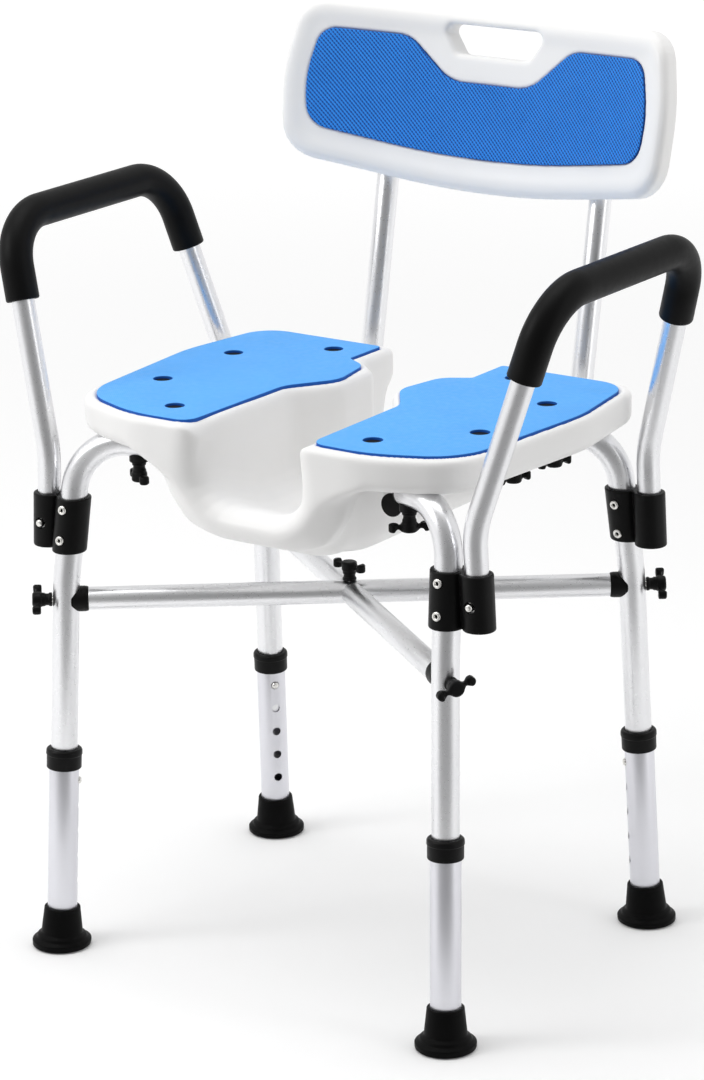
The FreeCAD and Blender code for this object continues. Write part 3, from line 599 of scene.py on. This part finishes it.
def make_foot(name, sx, sy):
    """A rubber foot: flat flange on the floor, stepped shoulder, and a cone up the leg."""
    profile = rounded([
        (0, 0.0, 0), (23, 0.0, 1.0), (28.2, 1.2, 1.4), (28.5, 6.6, 1.6), (24.6, 8.8, 1.2),
        (23.4, 11.4, 1.4), (20.0, 13.2, 2.2), (17.2, FOOT_TALL, 1.3), (LOWER_R, FOOT_TALL, 0.8),
        (LOWER_R, FOOT_SOLE, 0.2), (0, FOOT_SOLE, 0)], 5)
    points, faces = lathe(profile, np.zeros(3), (0, 0, 1))
    way = leg_way(sx, sy)
    lean, height = way[:2] / way[2], points[:, 2].copy()
    points[:, 2] -= smoothstep(2, 14, height) * (points[:, :2] @ lean)
    points[:, :2] += np.outer(height, lean) + leg_at(0, sx, sy)[:2]
    piece(f"foot_tip_{name}", (points, faces), RUBBER, f"leg_{name}", [f"foot_{name}"])


def hairpin(base, way, up, standing):
    """A snap button's domed nib and the sprung steel strip behind it."""
    dome = rounded([(0, 7.5, 0), (BUTTON_R, 7.5, 0.3), (BUTTON_R, standing, 2.4), (0, standing, 0)], 6)
    nib = lathe(dome, base, way, 36)
    wide = np.cross(way, up)
    loop = rounded([(-8, 3.5, 0.2), (-7.2, 3.5, 0.2), (-7.0, -27, 5.5), (8.0, -27, 5.5),
                    (8.2, 4.5, 0.2), (9.0, 4.5, 0.2), (9.0, -28, 6.0), (-8.0, -28, 6.0)], 4)
    count = len(loop)
    near, far = ([base + way * a + up * b + wide * side for a, b in loop] for side in (-3.5, 3.5))
    faces = [tuple(range(count))[::-1], tuple(range(count, 2 * count))]
    faces += [(i, (i + 1) % count, count + (i + 1) % count, count + i) for i in range(count)]
    return joined(nib, (np.array(near + far), faces))


def sprung(snap):
    """Bakes the snap's placement into its mesh, as one rigid piece."""
    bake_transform(snap)


def make_leg_button(name, sx, sy):
    base, way, up = leg_at(BUTTON_Z, sx, sy), button_way(sx, sy), leg_way(sx, sy)
    snap = piece(f"leg_snap_{name}", hairpin(base, way, up, LOWER_R + NIB_STANDING), STEEL, None,
                 [f"leg_button_{name}"])
    sprung(snap)


# ---- arms ----
def make_arm(side, sx):
    points = arm_points(sx)
    line = bent_line(points, [ARM_LOW_RADIUS, ARM_HIGH_RADIUS, ARM_HIGH_RADIUS, ARM_LOW_RADIUS])
    arm = piece(f"arm_bar_{side}", tube(line, SMALL_R, SMALL_BORE), ALUMINIUM, f"arm_{side}",
                [f"arm_tube_{side}"])
    drilled(arm, [(arm_at(ARM_BUTTON_Z, sx, sy), np.array([0, sy, 0]), BORE_REACH, HOLE_R)
                  for sy in ENDS.values()])
    front, rear = along(points[1], points[2], GRIP_END_Z), along(points[4], points[3], GRIP_END_Z)
    line = bent_line([front, points[2], points[3], rear], [ARM_HIGH_RADIUS, ARM_HIGH_RADIUS], 2.0)
    grip = piece(f"arm_foam_{side}", tube(line, GRIP_R, SMALL_R, 1.8), FOAM, f"arm_{side}",
                 [f"arm_grip_{side}"], 60)
    for end, sy in ENDS.items():
        down = unit(arm_at(400, sx, sy) - arm_at(500, sx, sy))
        base, way = arm_at(ARM_BUTTON_Z, sx, sy), np.array([0.0, sy, 0.0])
        button = f"arm_button_{end}_{side}"
        shape = hairpin(base, way, down, CLAMP_ARM_R + NIB_STANDING)
        snap = piece(f"arm_snap_{end}_{side}", shape, STEEL, None, [button])
        sprung(snap)


def tilted(height, low_point, high_point):
    """The centre line's x and y at these heights, as arrays."""
    way, up = high_point - low_point, height - low_point[2]
    return [low_point[i] + way[i] / way[2] * up for i in (0, 1)]


def make_socket(name, sx, sy):
    """The moulded clamp: two sleeves side by side with a crease where they meet."""
    step = 0.8 * FINE
    ends = corner((190, 130, 0), sx, sy), corner((262, 172, 0), sx, sy)
    low = np.min(ends, axis=0) + (0, 0, CLAMP_LOW - 3)
    high = np.max(ends, axis=0) + (0, 0, CLAMP_HIGH + 3)
    x, y, z = axes(low, high, step)
    lx, ly = tilted(z, upper_leg_at(CLAMP_LOW, sx, sy), upper_leg_at(CLAMP_HIGH, sx, sy))
    ax, ay = tilted(z, arm_at(CLAMP_LOW, sx, sy), arm_at(CLAMP_HIGH, sx, sy))
    leg, arm = np.hypot(x - lx, y - ly), np.hypot(x - ax, y - ay)
    sleeves = smooth_min(leg - CLAMP_LEG_R, arm - CLAMP_ARM_R, 1.6)
    tall = np.maximum(z - CLAMP_HIGH, CLAMP_LOW - z)
    body = smooth_max(sleeves, tall + 0 * sleeves, 1.6)
    body = smooth_max(body, UPPER_R - leg, 0.8)
    body = smooth_max(body, -np.maximum(-(SMALL_R + 0.15 - arm), ARM_END_Z - 0.3 - z), 0.8)
    bx, _, bz = arm_at(ARM_BUTTON_Z, sx, sy)
    bore = np.maximum(np.hypot(x - bx, z - bz) - RELEASE_R + 0 * y, ARM_Y - y * sy)
    shape = field_mesh(smooth_max(body, -bore, 0.8), low, step)
    piece(f"arm_clamp_{name}", shape, BLACK, "frame", [f"arm_socket_{name}"])


def make_rivets():
    """Tubular rivets: a rolled head with a dark dimple, front and rear of each leg sleeve."""
    shapes = []
    reach = CLAMP_LEG_R - 0.4
    head = rounded([(2.0, 0, 0), (4.6, 0, 0.4), (4.2, 1.9, 1.1), (2.1, 2.3, 0.8), (1.3, 0.4, 0.4)], 4)
    for sx, sy in CORNERS.values():
        axis = unit(upper_leg_at(CLAMP_HIGH, sx, sy) - upper_leg_at(CLAMP_LOW, sx, sy))
        across = unit(np.array([0, 1.0, 0]) - axis * axis[1])
        for height in RIVET_Z:
            middle = upper_leg_at(height, sx, sy)
            for way in (-across, across):
                shapes.append(lathe(head, middle + way * reach, way, 32))
            shank = [(0, -reach), (2, -reach), (2, reach + 0.5), (0, reach + 0.5)]
            shapes.append(lathe(shank, middle, across, 24))
    piece("clamp_rivets", joined(*shapes), STEEL, "frame", ["socket_rivets"])


# ---- braces ----
def make_braces():
    ends = {name: brace_inner(sx, sy) for name, (sx, sy) in CORNERS.items()}
    line = [ends["front_right"], ends["rear_left"]]
    piece("brace_bar_long", tube(line, SMALL_R, SMALL_BORE), ALUMINIUM, "frame", ["brace_long"])
    middle = np.array([0, 0, BRACE_Z])
    for word, name in (("front", "front_left"), ("rear", "rear_right")):
        start = middle + unit(ends[name] - middle) * 9.0
        shape = tube([start, ends[name]], SMALL_R, SMALL_BORE)
        piece(f"brace_bar_{word}", shape, ALUMINIUM, "frame", [f"brace_half_{word}"])


def make_saddles():
    """Black end plugs: a flange hollowed to the round leg, and a spigot in the brace."""
    shapes = []
    profile = rounded([(0, -20, 0), (9.5, -20, 1), (9.5, 0.0, 0.2), (11.6, 0.0, 1.2), (12.2, 3.5, 2.5),
                       (12.2, 12.0, 0), (12.2, 16.0, 0), (0, 16.0, 0)], 5)
    for sx, sy in CORNERS.values():
        centre, out = brace_line(sx, sy)
        inner = brace_inner(sx, sy)
        points, faces = lathe(profile, inner, out, 96)
        across = np.cross(out, (0, 0, 1))
        reach = (points - centre) @ out
        aside = (points - centre) @ across
        limit = -np.sqrt(np.maximum((UPPER_R + 0.1) ** 2 - aside ** 2, 0.3))
        over = reach > limit - 0.01
        points[over] -= np.outer(reach[over] - limit[over], out)
        shapes.append((points, faces))
    piece("brace_end_saddles", joined(*shapes), BLACK, "frame", ["brace_saddles"])


# ---- T-knobs ----
def knob_shape():
    """A moulded wing knob: round hub, waisted wings, thick rounded tips, and a ringed stem."""
    step = 0.55 * FINE
    low, high = (-21, -8.5, -2), (21, 8.5, 21)
    x, y, z = axes(low, high, step)
    ax = np.abs(x)
    bar_low, bar_high = 10.5, 18.5
    middle = (bar_low + bar_high) / 2
    hub = plate_field(np.hypot(x, y) - 7.4, z, bar_low - 0.5, bar_high + 0.4, 1.5, 2.2)
    wing_half = 2.1 + 1.6 * smoothstep(9, 15, ax)
    wing = np.maximum(np.abs(y) - wing_half, ax - 16.0)
    wing = plate_field(wing, z, bar_low + 1.6, bar_high - 1.0, 1.0, 1.4)
    tip = plate_field(np.hypot(ax - 14.6, y) - 4.4, z, bar_low, bar_high, 1.4, 1.8)
    body = smooth_min(smooth_min(hub, wing, 2.5), tip, 2.0)
    groove = np.hypot(ax - 11.0, z - bar_high + 0.2) - 2.4 + 0 * y
    body = smooth_max(body, -groove, 1.5)
    stem = plate_field(np.hypot(x, y) - 5.6, z, 0.3, middle, 0.5, 0.5)
    ringed = plate_field(np.hypot(x, y) - 6.6, z, 0.3, 3.2, 0.7, 0.9)
    neck = plate_field(np.hypot(x, y) - 6.4, z, 7.0, 12.0, 1.0, 1.0)
    body = smooth_min(body, smooth_min(smooth_min(stem, ringed, 0.6), neck, 1.5), 1.2)
    return field_mesh(body, low, step)


KNOB = knob_shape()


def make_knob(name, foot, out, turn, stud):
    """One wing knob standing on foot, its bar turned round its own axis."""
    points, faces = KNOB
    steel = lathe([(0, -stud), (STUD_R - 0.5, -stud), (STUD_R, 0.5 - stud), (STUD_R, 1), (0, 1)],
                  np.zeros(3), (0, 0, 1), 24)
    if out[2] < -0.99:
        place = Matrix.Rotation(math.pi, 3, "Y")
    else:
        place = Vector((0, 0, 1)).rotation_difference(Vector(out)).to_matrix()
    turned = np.array(place @ Matrix.Rotation(math.radians(turn), 3, "Z"))
    piece(f"wing_{name}", (points @ turned.T + foot, faces), BLACK, name, [name], 50)
    piece(f"stud_{name}", (steel[0] @ turned.T + foot, steel[1]), STEEL, name)


BRACE_KNOB_TURNS = {"front_left": 75, "front_right": 103, "rear_left": 155, "rear_right": 10}
SEAT_KNOB_TURNS = {"front_left": 135, "front_right": 35, "rear_left": 110, "rear_right": 70}
RAIL_KNOB_TURNS = {"left": 110, "right": 80}
CENTRE_TURN = 172


def make_knobs():
    for name, (sx, sy) in CORNERS.items():
        centre, out = brace_line(sx, sy)
        foot = centre + out * (UPPER_R + KNOB_GAP)
        make_knob(f"brace_knob_{name}", foot, out, BRACE_KNOB_TURNS[name], BRACE_STUD)
        foot = corner(SEAT_KNOB, sx, sy) - (0, 0, UPPER_R + WASHER + KNOB_GAP)
        make_knob(f"seat_knob_{name}", foot, (0, 0, -1), SEAT_KNOB_TURNS[name], SEAT_STUD)
    for side, sx in SIDES.items():
        foot = np.array([sx * BACK_TUBE_X, RAIL_KNOB_Y, RAIL_Z - SMALL_R - KNOB_GAP])
        make_knob(f"rail_knob_{side}", foot, (0, 0, -1), RAIL_KNOB_TURNS[side], SEAT_STUD)
    foot = np.array([0, 0, BRACE_Z + SMALL_R + KNOB_GAP])
    make_knob("centre_knob", foot, (0, 0, 1), CENTRE_TURN, CENTRE_STUD)


def make_seat_saddles():
    """Small black washers between the leg tubes and the seat knobs."""
    shapes = []
    profile = rounded([(3.4, 0, 0.2), (9.0, 0, 1.0), (9.0, 8.0, 0), (9.0, 12.0, 0), (3.4, 12.0, 0)], 4)
    for sx, sy in CORNERS.values():
        middle = corner(SEAT_KNOB, sx, sy)
        way = unit(leg_points(sx, sy)[3] - leg_points(sx, sy)[2])
        across = np.cross(way, (0, 0, 1))
        points, faces = lathe(profile, middle - (0, 0, UPPER_R + WASHER), (0, 0, 1), 48)
        aside = (points - middle) @ across
        ceiling = middle[2] - np.sqrt(np.maximum((UPPER_R + 0.05) ** 2 - aside ** 2, 0.1))
        points[:, 2] = np.minimum(points[:, 2], ceiling)
        shapes.append((points, faces))
    piece("seat_knob_washers", joined(*shapes), BLACK, "frame", ["seat_knob_saddles"])


# ---- seat ----
def seat_outline():
    right = [(135, SEAT_FRONT, 150), (220, -134, 66), (236, 52, 140), (218, SEAT_REAR, 36)]
    return rounded(both_sides(right), 10)


def trough_outline():
    """The trough from above: open at both ends, narrow where the thighs rest."""
    right = [(58, SEAT_FRONT - 30, 0), (58, -8, 30), (28, 34, 26), (28, 88, 20), (60, 116, 14),
             (60, SEAT_REAR + 30, 0)]
    return rounded(both_sides(right))


def pad_outline():
    return rounded([
        (68, -155, 16), (132, -157, 130), (211, -125, 62), (226, 52, 150), (209, 160, 34),
        (70, 160, 4), (70, 107, 4), (44, 92, 24), (34, 38, 30), (66, -8, 34)], 14)


def seat_field(x, y, z):
    """Distance field of the seat: two lobes, a keel between them, and the trough cut through."""
    wide = np.abs(x)
    rim = outline_distance(seat_outline(), x, y)
    lobes = plate_field(rim, z, SEAT_LOW, SEAT_HIGH, 14.0, 8.0)
    sections = [rounded(both_sides(right)) for right in (
        [(30, 430, 60), (66, 456, 60), (116, 518, 2)],
        [(36, 424, 50), (78, 444, 34), (101, 474, 50), (106, 518, 2)],
        [(40, 412, 40), (70, 426, 26), (74, 455, 50), (84, 518, 2)],
        [(56, TROUGH_LOW, 28), (80, 434, 26), (84, 470, 50), (106, 515, 2)])]
    keel_side = outline_distance(sections[0], wide, z)
    for section, start, end in zip(sections[1:], (-166, -136, -94), (-146, -104, -56)):
        share = smoothstep(start, end, y)
        keel_side = keel_side * (1 - share) + outline_distance(section, wide, z) * share
    front, rear = SEAT_FRONT + 1, SEAT_REAR - 6
    profile = rounded([(front, 600, 0), (front, 440, 26), (-100, 412, 60), (-40, TROUGH_LOW, 60),
                       (131, TROUGH_LOW, 20), (rear, 520, 0), (rear, 600, 0)])
    keel = smooth_max(keel_side, outline_distance(profile, y, z), 14.0)
    blend = 16 + 14 * smoothstep(-90, -150, y)
    shell = smooth_min(lobes, smooth_max(keel, z - (SEAT_HIGH - 8), 2.0), blend)
    shell = smooth_max(smooth_max(shell, rim + 0 * z, 2.0), z - SEAT_HIGH, 1.0)
    channel = rounded([(-TROUGH_HALF, TROUGH_FLOOR, 42), (TROUGH_HALF, TROUGH_FLOOR, 42),
                       (TROUGH_HALF, 620, 0), (-TROUGH_HALF, 620, 0)])
    rise = (TROUGH_LIP - TROUGH_FLOOR) * smoothstep(-60, -150, y)
    hollow = outline_distance(channel, x, z - rise)
    hollow = smooth_max(hollow, outline_distance(trough_outline(), x, y), 6.0)
    at_mouth = smoothstep(-108, -150, y)
    shell = smooth_max(shell, -hollow, 11 + at_mouth * (9 + 6 * smoothstep(538, 500, z)))
    for rest_y in (RAIL_KNOB_Y, RAIL_REST_Y):
        block = np.maximum(np.abs(wide - BACK_TUBE_X) - 11, np.abs(y - rest_y) - 15) - 5
        block = plate_field(block, z, RAIL_Z + 2, SEAT_LOW + 8, 1.5, 1.5)
        shell = smooth_min(shell, block, 5.0)
    points = leg_points(1, 1)
    points[3] = points[3] + unit(points[3] - points[2]) * 6
    groove = line_distance(bent_line(points, [KINK_RADIUS, TOP_RADIUS], 9.0)[3:], wide, np.abs(y), z)
    rail = np.hypot(wide - BACK_TUBE_X, z - RAIL_Z) + 0 * y
    return smooth_max(smooth_max(shell, UPPER_R + 0.2 - groove, 2.0), SMALL_R + 0.2 - rail, 1.5)


def make_seat():
    step = 2.0 * FINE
    low, high = (-242, SEAT_FRONT - 6, 400), (242, SEAT_REAR + 6, 546)
    x, y, z = axes(low, high, step)
    field = seat_field(x, y, z)
    bed = outline_distance(pad_outline(), np.abs(x), y)
    bed = np.maximum(bed - BED_GAP, PAD_LOW - z)
    field = smooth_max(field, -bed, 1.0)
    piece("seat_body", field_mesh(field, low, step), WHITE, "frame", ["seat_shell"], 70)


def inset(outline, distance):
    """An outline moved inward by a small distance."""
    before, after = np.roll(outline, 1, 0), np.roll(outline, -1, 0)
    way = after - before
    way /= np.linalg.norm(way, axis=1)[:, None]
    turned = np.column_stack((-way[:, 1], way[:, 0]))
    area = np.sum(outline[:, 0] * after[:, 1] - after[:, 0] * outline[:, 1])
    return outline + turned * distance * (1 if area > 0 else -1)


def thinned(outline, gap):
    """The outline without points that are closer than gap to the last one kept."""
    kept = [outline[0]]
    for point in outline[1:]:
        if np.linalg.norm(point - kept[-1]) > gap:
            kept.append(point)
    return np.array(kept)


def filled(rims, grain):
    """A flat outline filled round its holes: points, which rim point each one is, and triangles."""
    def within(x, y, margin):
        held = outline_distance(rims[0], x, y) < -margin
        for hole in rims[1:]:
            held &= outline_distance(hole, x, y) > margin
        return held

    edges, flat = [], np.vstack(rims)
    for rim in rims:
        first = len(edges)
        edges += [(first + k, first + (k + 1) % len(rim)) for k in range(len(rim))]
    spans = [np.arange(a + grain / 2, b, grain) for a, b in zip(flat.min(0), flat.max(0))]
    inner = np.column_stack([part.ravel() for part in np.meshgrid(*spans)])
    inner = inner[within(inner[:, 0], inner[:, 1], grain * 0.4)]
    spots = [Vector(p) for p in np.vstack((flat, inner))]
    found, _, triangles, origins = geometry.delaunay_2d_cdt(spots, edges, [], 0, 1e-5)[:4]
    found = np.array([tuple(v) for v in found])
    origins = [o[0] if o and o[0] < len(flat) else None for o in origins]
    return found, origins, [t for t in triangles if within(*found[list(t)].mean(0), 0)]


def foam_sheet(outline, holes, low, high, edge, grain):
    """A flat sheet with softly rounded upper edges: flat (x, y, height) points and faces."""
    turns = np.linspace(0, 2 * math.pi, 33)[:-1]
    circle = np.column_stack((np.cos(turns), -np.sin(turns)))
    loops = [thinned(outline, 0.8)] + [np.array(hole) + radius * circle for hole, radius in holes]
    levels = [(edge * (1 - math.cos(t)), high - edge * (1 - math.sin(t)))
              for t in np.linspace(0, math.pi / 2, 5)]
    points, faces, tops, bottoms = [], [], [], []
    for number, loop in enumerate(loops):
        sign = 1 if number == 0 else -1
        count = len(loop)
        rows = [np.column_stack((loop, np.full(count, low)))]
        rows += [np.column_stack((inset(loop, sign * back), np.full(count, height)))
                 for back, height in levels]
        base = sum(map(len, points))
        points += rows
        faces += [tuple(base + i for i in face) for face in bands(len(rows), count, False)]
        bottoms.append((base, rows[0]))
        tops.append((base + (len(rows) - 1) * count, rows[-1]))
    for ends, height in ((tops, high), (bottoms, low)):
        names = np.concatenate([start + np.arange(len(rows)) for start, rows in ends])
        found, origins, triangles = filled([rows[:, :2] for _, rows in ends], grain)
        base = sum(map(len, points))
        points.append(np.column_stack((found, np.full(len(found), height))))
        back = [base + i if o is None else int(names[o]) for i, o in enumerate(origins)]
        faces += [tuple(back[i] for i in triangle) for triangle in triangles]
    return np.vstack(points), faces


def clean(shape):
    """The same shape without points that no face uses."""
    points, faces = shape
    used = sorted({i for face in faces for i in face})
    order = {old: new for new, old in enumerate(used)}
    return points[used], [[order[i] for i in face] for face in faces]


def make_seat_pads():
    holes = [((x, y), PAD_HOLE_R) for x, y in PAD_HOLES]
    points, faces = clean(foam_sheet(pad_outline(), holes, PAD_LOW, PAD_HIGH, 0.9, 30.0))
    disc = rounded([(0, PAD_LOW - BED_GAP, 0), (PAD_HOLE_R, PAD_LOW - BED_GAP, 0),
                    (PAD_HOLE_R, PAD_LOW + 1.6, 0.5), (5.0, PAD_LOW + 0.7, 1.0),
                    (0, PAD_LOW + 0.7, 0)], 4)
    for side, sx in SIDES.items():
        pad = piece(f"seat_cushion_{side}", (points * (sx, 1, 1), faces), SEAT_BLUE, "frame",
                    [f"seat_pad_{side}"], 50)
        # Dark discs fill the pad holes down to the seat: painted shade in the holes, not a part of the
        # chair.
        hole_shade_discs = [lathe(disc, np.array([sx * x, y, 0.0]), (0, 0, 1), 40) for x, y in PAD_HOLES]
        piece(f"seat_cushion_hole_shade_{side}", joined(*hole_shade_discs), HOLE_SHADE, "frame")


# ---- backrest ----
def lean_back(points):
    """Bends flat backrest points (x, height, depth behind the face) and leans them back."""
    x, height, depth = points[:, 0], points[:, 1], points[:, 2]
    y = np.sqrt((BACK_CURVE_R + depth) ** 2 - x ** 2) - BACK_CURVE_R
    rise = height - BACK_FACE_Z
    cos, sin = math.cos(BACK_LEAN), math.sin(BACK_LEAN)
    return np.column_stack((x, BACK_FACE_Y + y * cos + rise * sin, BACK_FACE_Z + rise * cos - y * sin))


def back_pad_outline():
    return rounded(both_sides([(56, 718, 860), (188, 734, 24), (194, 780, 120), (182, 830, 20),
                               (93, 830, 32), (46, 790, 42)]), 10)


def make_back_panel():
    """The backrest shell: a rolled rim, a bed for the pad, a grab hole and two tube bosses."""
    step = 1.5 * FINE
    low, high = (-226, 677, -5), (226, 868, 56)
    x, height, depth = axes(low, high, step)
    right = [(50, 685, 860), (214, 704, 38), (220, 786, 200), (206, 858, 32)]
    rim = outline_distance(rounded(both_sides(right)), x, height)
    roll = 1.6 * np.exp(-((rim + 13) / 9.0) ** 2)
    body = plate_field(rim, depth + roll, 0, BACK_THICK + 2, 9.0, 7.0)
    from_tube = np.hypot(np.abs(x) - BACK_TUBE_X, depth - BACK_TUBE_DEPTH)
    boss = smooth_max(from_tube - 15.0, np.maximum(height - BACK_TUBE_TOP - 5, 712 - height), 4.0)
    body = smooth_min(body, boss, 8.0)
    bore = np.maximum(from_tube - SMALL_R - 0.1, height - BACK_TUBE_TOP)
    body = smooth_max(body, -bore, 0.8)
    bed = outline_distance(back_pad_outline(), x, height)
    body = smooth_max(body, -np.maximum(bed - BED_GAP, depth - 2.5), 1.2)
    window = outline_distance(rounded(both_sides([(41, 817, 8), (60, 845, 7)])), x, height)
    body = smooth_max(body, -(window + 0 * depth), 5.0)
    points, faces = field_mesh(body, low, step)
    piece("back_body", (lean_back(points), faces), WHITE, "frame", ["back_panel"], 70)


def make_back_pad():
    points, faces = clean(foam_sheet(back_pad_outline(), [], -2.5, 1.5, 1.0, 7.0))
    points[:, 2] *= -1
    pad = piece("back_cushion", (lean_back(points), faces), BACK_BLUE, "frame", ["back_pad"], 50)


def make_back_tubes():
    for side, sx in SIDES.items():
        front = np.array([sx * BACK_TUBE_X, RAIL_FRONT_Y, RAIL_Z])
        line = bent_line([front, back_at(RAIL_Z, sx), back_at(BACK_TUBE_TOP, sx)], [RAIL_RADIUS])
        shape = tube(line, SMALL_R, SMALL_BORE)
        piece(f"back_upright_{side}", shape, ALUMINIUM, "frame", [f"back_tube_{side}"])


def make_plugs():
    """Caps in the open ends of the legs, under the seat, and of the two seat rails."""
    leg_plug = rounded([(0, -12, 0), (11.3, -12, 1), (11.3, 0, 0.1), (12.7, 0, 0.3), (12.5, 2.5, 1.0),
                        (0, 2.6, 0)], 4)
    rail_plug = rounded([(0, -12, 0), (9.7, -12, 1), (9.7, 0, 0.1), (11.0, 0, 0.3), (10.8, 2.5, 1.2),
                         (0, 2.8, 0)], 4)
    tops = [leg_points(sx, sy)[2:] for sx, sy in CORNERS.values()]
    shapes = [lathe(leg_plug, end, end - top) for top, end in tops]
    fronts = [np.array([sx * BACK_TUBE_X, RAIL_FRONT_Y, RAIL_Z]) for sx in SIDES.values()]
    shapes += [lathe(rail_plug, front, (0, -1, 0)) for front in fronts]
    piece("tube_plugs", joined(*shapes), BLACK, "frame", ["tube_end_plugs"])


# ---- studio ----
# Level directions: toward the side the front of the chair is seen from, and square to it.
AHEAD, ASIDE = (0.575, -0.819, 0.0), (0.819, 0.575, 0.0)


def make_floor():
    """A bright white floor with a grey card in front of the chair for the tubes to reflect."""
    half = 14.0
    mesh = bpy.data.meshes.new("floor")
    mesh.from_pydata([(-half, -half, 0), (half, -half, 0), (half, half, 0), (-half, half, 0)],
                     [], [(0, 1, 2, 3)])
    look = new_look("floor", (0.9, 0.9, 0.9), 0.9)
    place = look.place()
    ahead = look.sum("DOT_PRODUCT", place, AHEAD, kind="VectorMath")
    aside = look.sum("ABSOLUTE", look.sum("DOT_PRODUCT", place, ASIDE, kind="VectorMath"))
    narrow = look.share(look.sum("DIVIDE", aside, ahead), 1.7, 0.3)
    card = look.sum("MULTIPLY", look.share(ahead, 0.36, 0.75), narrow)
    cloud = look.ramp(look.noise(0.7, 2.0), 0.895, 0.905)
    length = look.sum("LENGTH", place, kind="VectorMath")
    far = look.sum("MULTIPLY", look.share(length, 0.8, 6.0), 0.38)
    glow = look.sum("MULTIPLY", look.sum("SUBTRACT", 1.0, card), look.sum("ADD", far, 0.06))
    look.give(Base_Color=look.mix("MIX", card, cloud, (0.36, 0.36, 0.36)), Specular_IOR_Level=0.1,
              Emission_Color=(1, 1, 1, 1), Emission_Strength=glow)
    mesh.materials.append(look.owner)
    new_object("floor", mesh)


def make_light(name, place, target, width, height, power):
    data = bpy.data.lights.new(name, "AREA")
    data.shape, data.size, data.size_y, data.energy = "RECTANGLE", width, height, power
    light = new_object(name, data)
    light.location = place
    light.rotation_euler = (Vector(target) - Vector(place)).to_track_quat("-Z", "Y").to_euler()


def make_camera():
    """A long lens, nearly four metres away, in front and to the sitter's left."""
    azimuth, elevation, roll = map(math.radians, (35.08, 16.99, -0.98))
    distance, frame_mm, lens_mm = 3.810, 36.0, 135.0667
    back = Vector((math.sin(azimuth) * math.cos(elevation), -math.cos(azimuth) * math.cos(elevation),
                   math.sin(elevation)))
    right = Vector((math.cos(azimuth), math.sin(azimuth), 0))
    up = right.cross(-back)
    cos, sin = math.cos(roll), math.sin(roll)
    data = bpy.data.cameras.new("camera")
    data.sensor_fit, data.sensor_height, data.sensor_width = "AUTO", 24.0, frame_mm
    data.lens, data.shift_x, data.shift_y = lens_mm, 0.00324, -0.02074
    camera = new_object("camera", data)
    target = Vector((0, FEET_MIDDLE_Y, 0.420))
    turn = Matrix((right * cos + up * sin, up * cos - right * sin, back)).transposed()
    camera.matrix_world = Matrix.Translation(target + back * distance) @ turn.to_4x4()
    bpy.context.scene.camera = camera


def make_world():
    """A white room that is dimmer on the side in front of the chair."""
    world = Graph(bpy.data.worlds.new("studio"), "Background")
    facing = world.sum("DOT_PRODUCT", world.place("Generated"), (*AHEAD[:2], 0.1), kind="VectorMath")
    tone = world.ramp(world.share(facing, -1.0, 1.0, "LINEAR"), 0.88, 0.3, 0.0, 1.0)
    for position, grey in ((0.4, 1.0), (0.62, 0.92), (0.82, 0.5)):
        tone.node.color_ramp.elements.new(position).color = (grey, grey, grey, 1)
    world.give(Color=tone, Strength=0.92)
    bpy.context.scene.world = world.owner


def make_studio():
    make_floor()
    make_camera()
    make_world()
    middle = (0, 0, 0.45)
    make_light("key", (-2.2, -2.2, 2.4), middle, 0.9, 1.8, 16)
    make_light("side", (2.8, 0.2, 1.3), middle, 0.6, 2.2, 7)
    make_light("backrest", (-0.9, -1.3, 1.5), (0, 0.25, 0.78), 0.8, 0.5, 6)
    make_light("overhead", (-0.3, -0.2, 3.2), middle, 2.2, 2.2, 26)
    bpy.context.scene.view_settings.view_transform = "Standard"


# ---- the whole chair ----
make_studio()
for corner_name, (sign_x, sign_y) in CORNERS.items():
    make_upper_leg(corner_name, sign_x, sign_y)
    make_lower_leg(corner_name, sign_x, sign_y)
    make_collar(corner_name, sign_x, sign_y)
    make_foot(corner_name, sign_x, sign_y)
    make_leg_button(corner_name, sign_x, sign_y)
    make_socket(corner_name, sign_x, sign_y)
for side_name, sign_x in SIDES.items():
    make_arm(side_name, sign_x)
make_rivets()
make_braces()
make_saddles()
make_knobs()
make_seat_saddles()
make_seat()
make_seat_pads()
make_back_panel()
make_back_pad()
make_back_tubes()
make_plugs()
HIDDEN = {"seat_inserts": BRASS, "back_screws": STEEL, "brace_spigot": BLACK}
for node_name, finish in HIDDEN.items():
    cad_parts[node_name].material_slots[0].material = finish

bpy.context.view_layer.update()
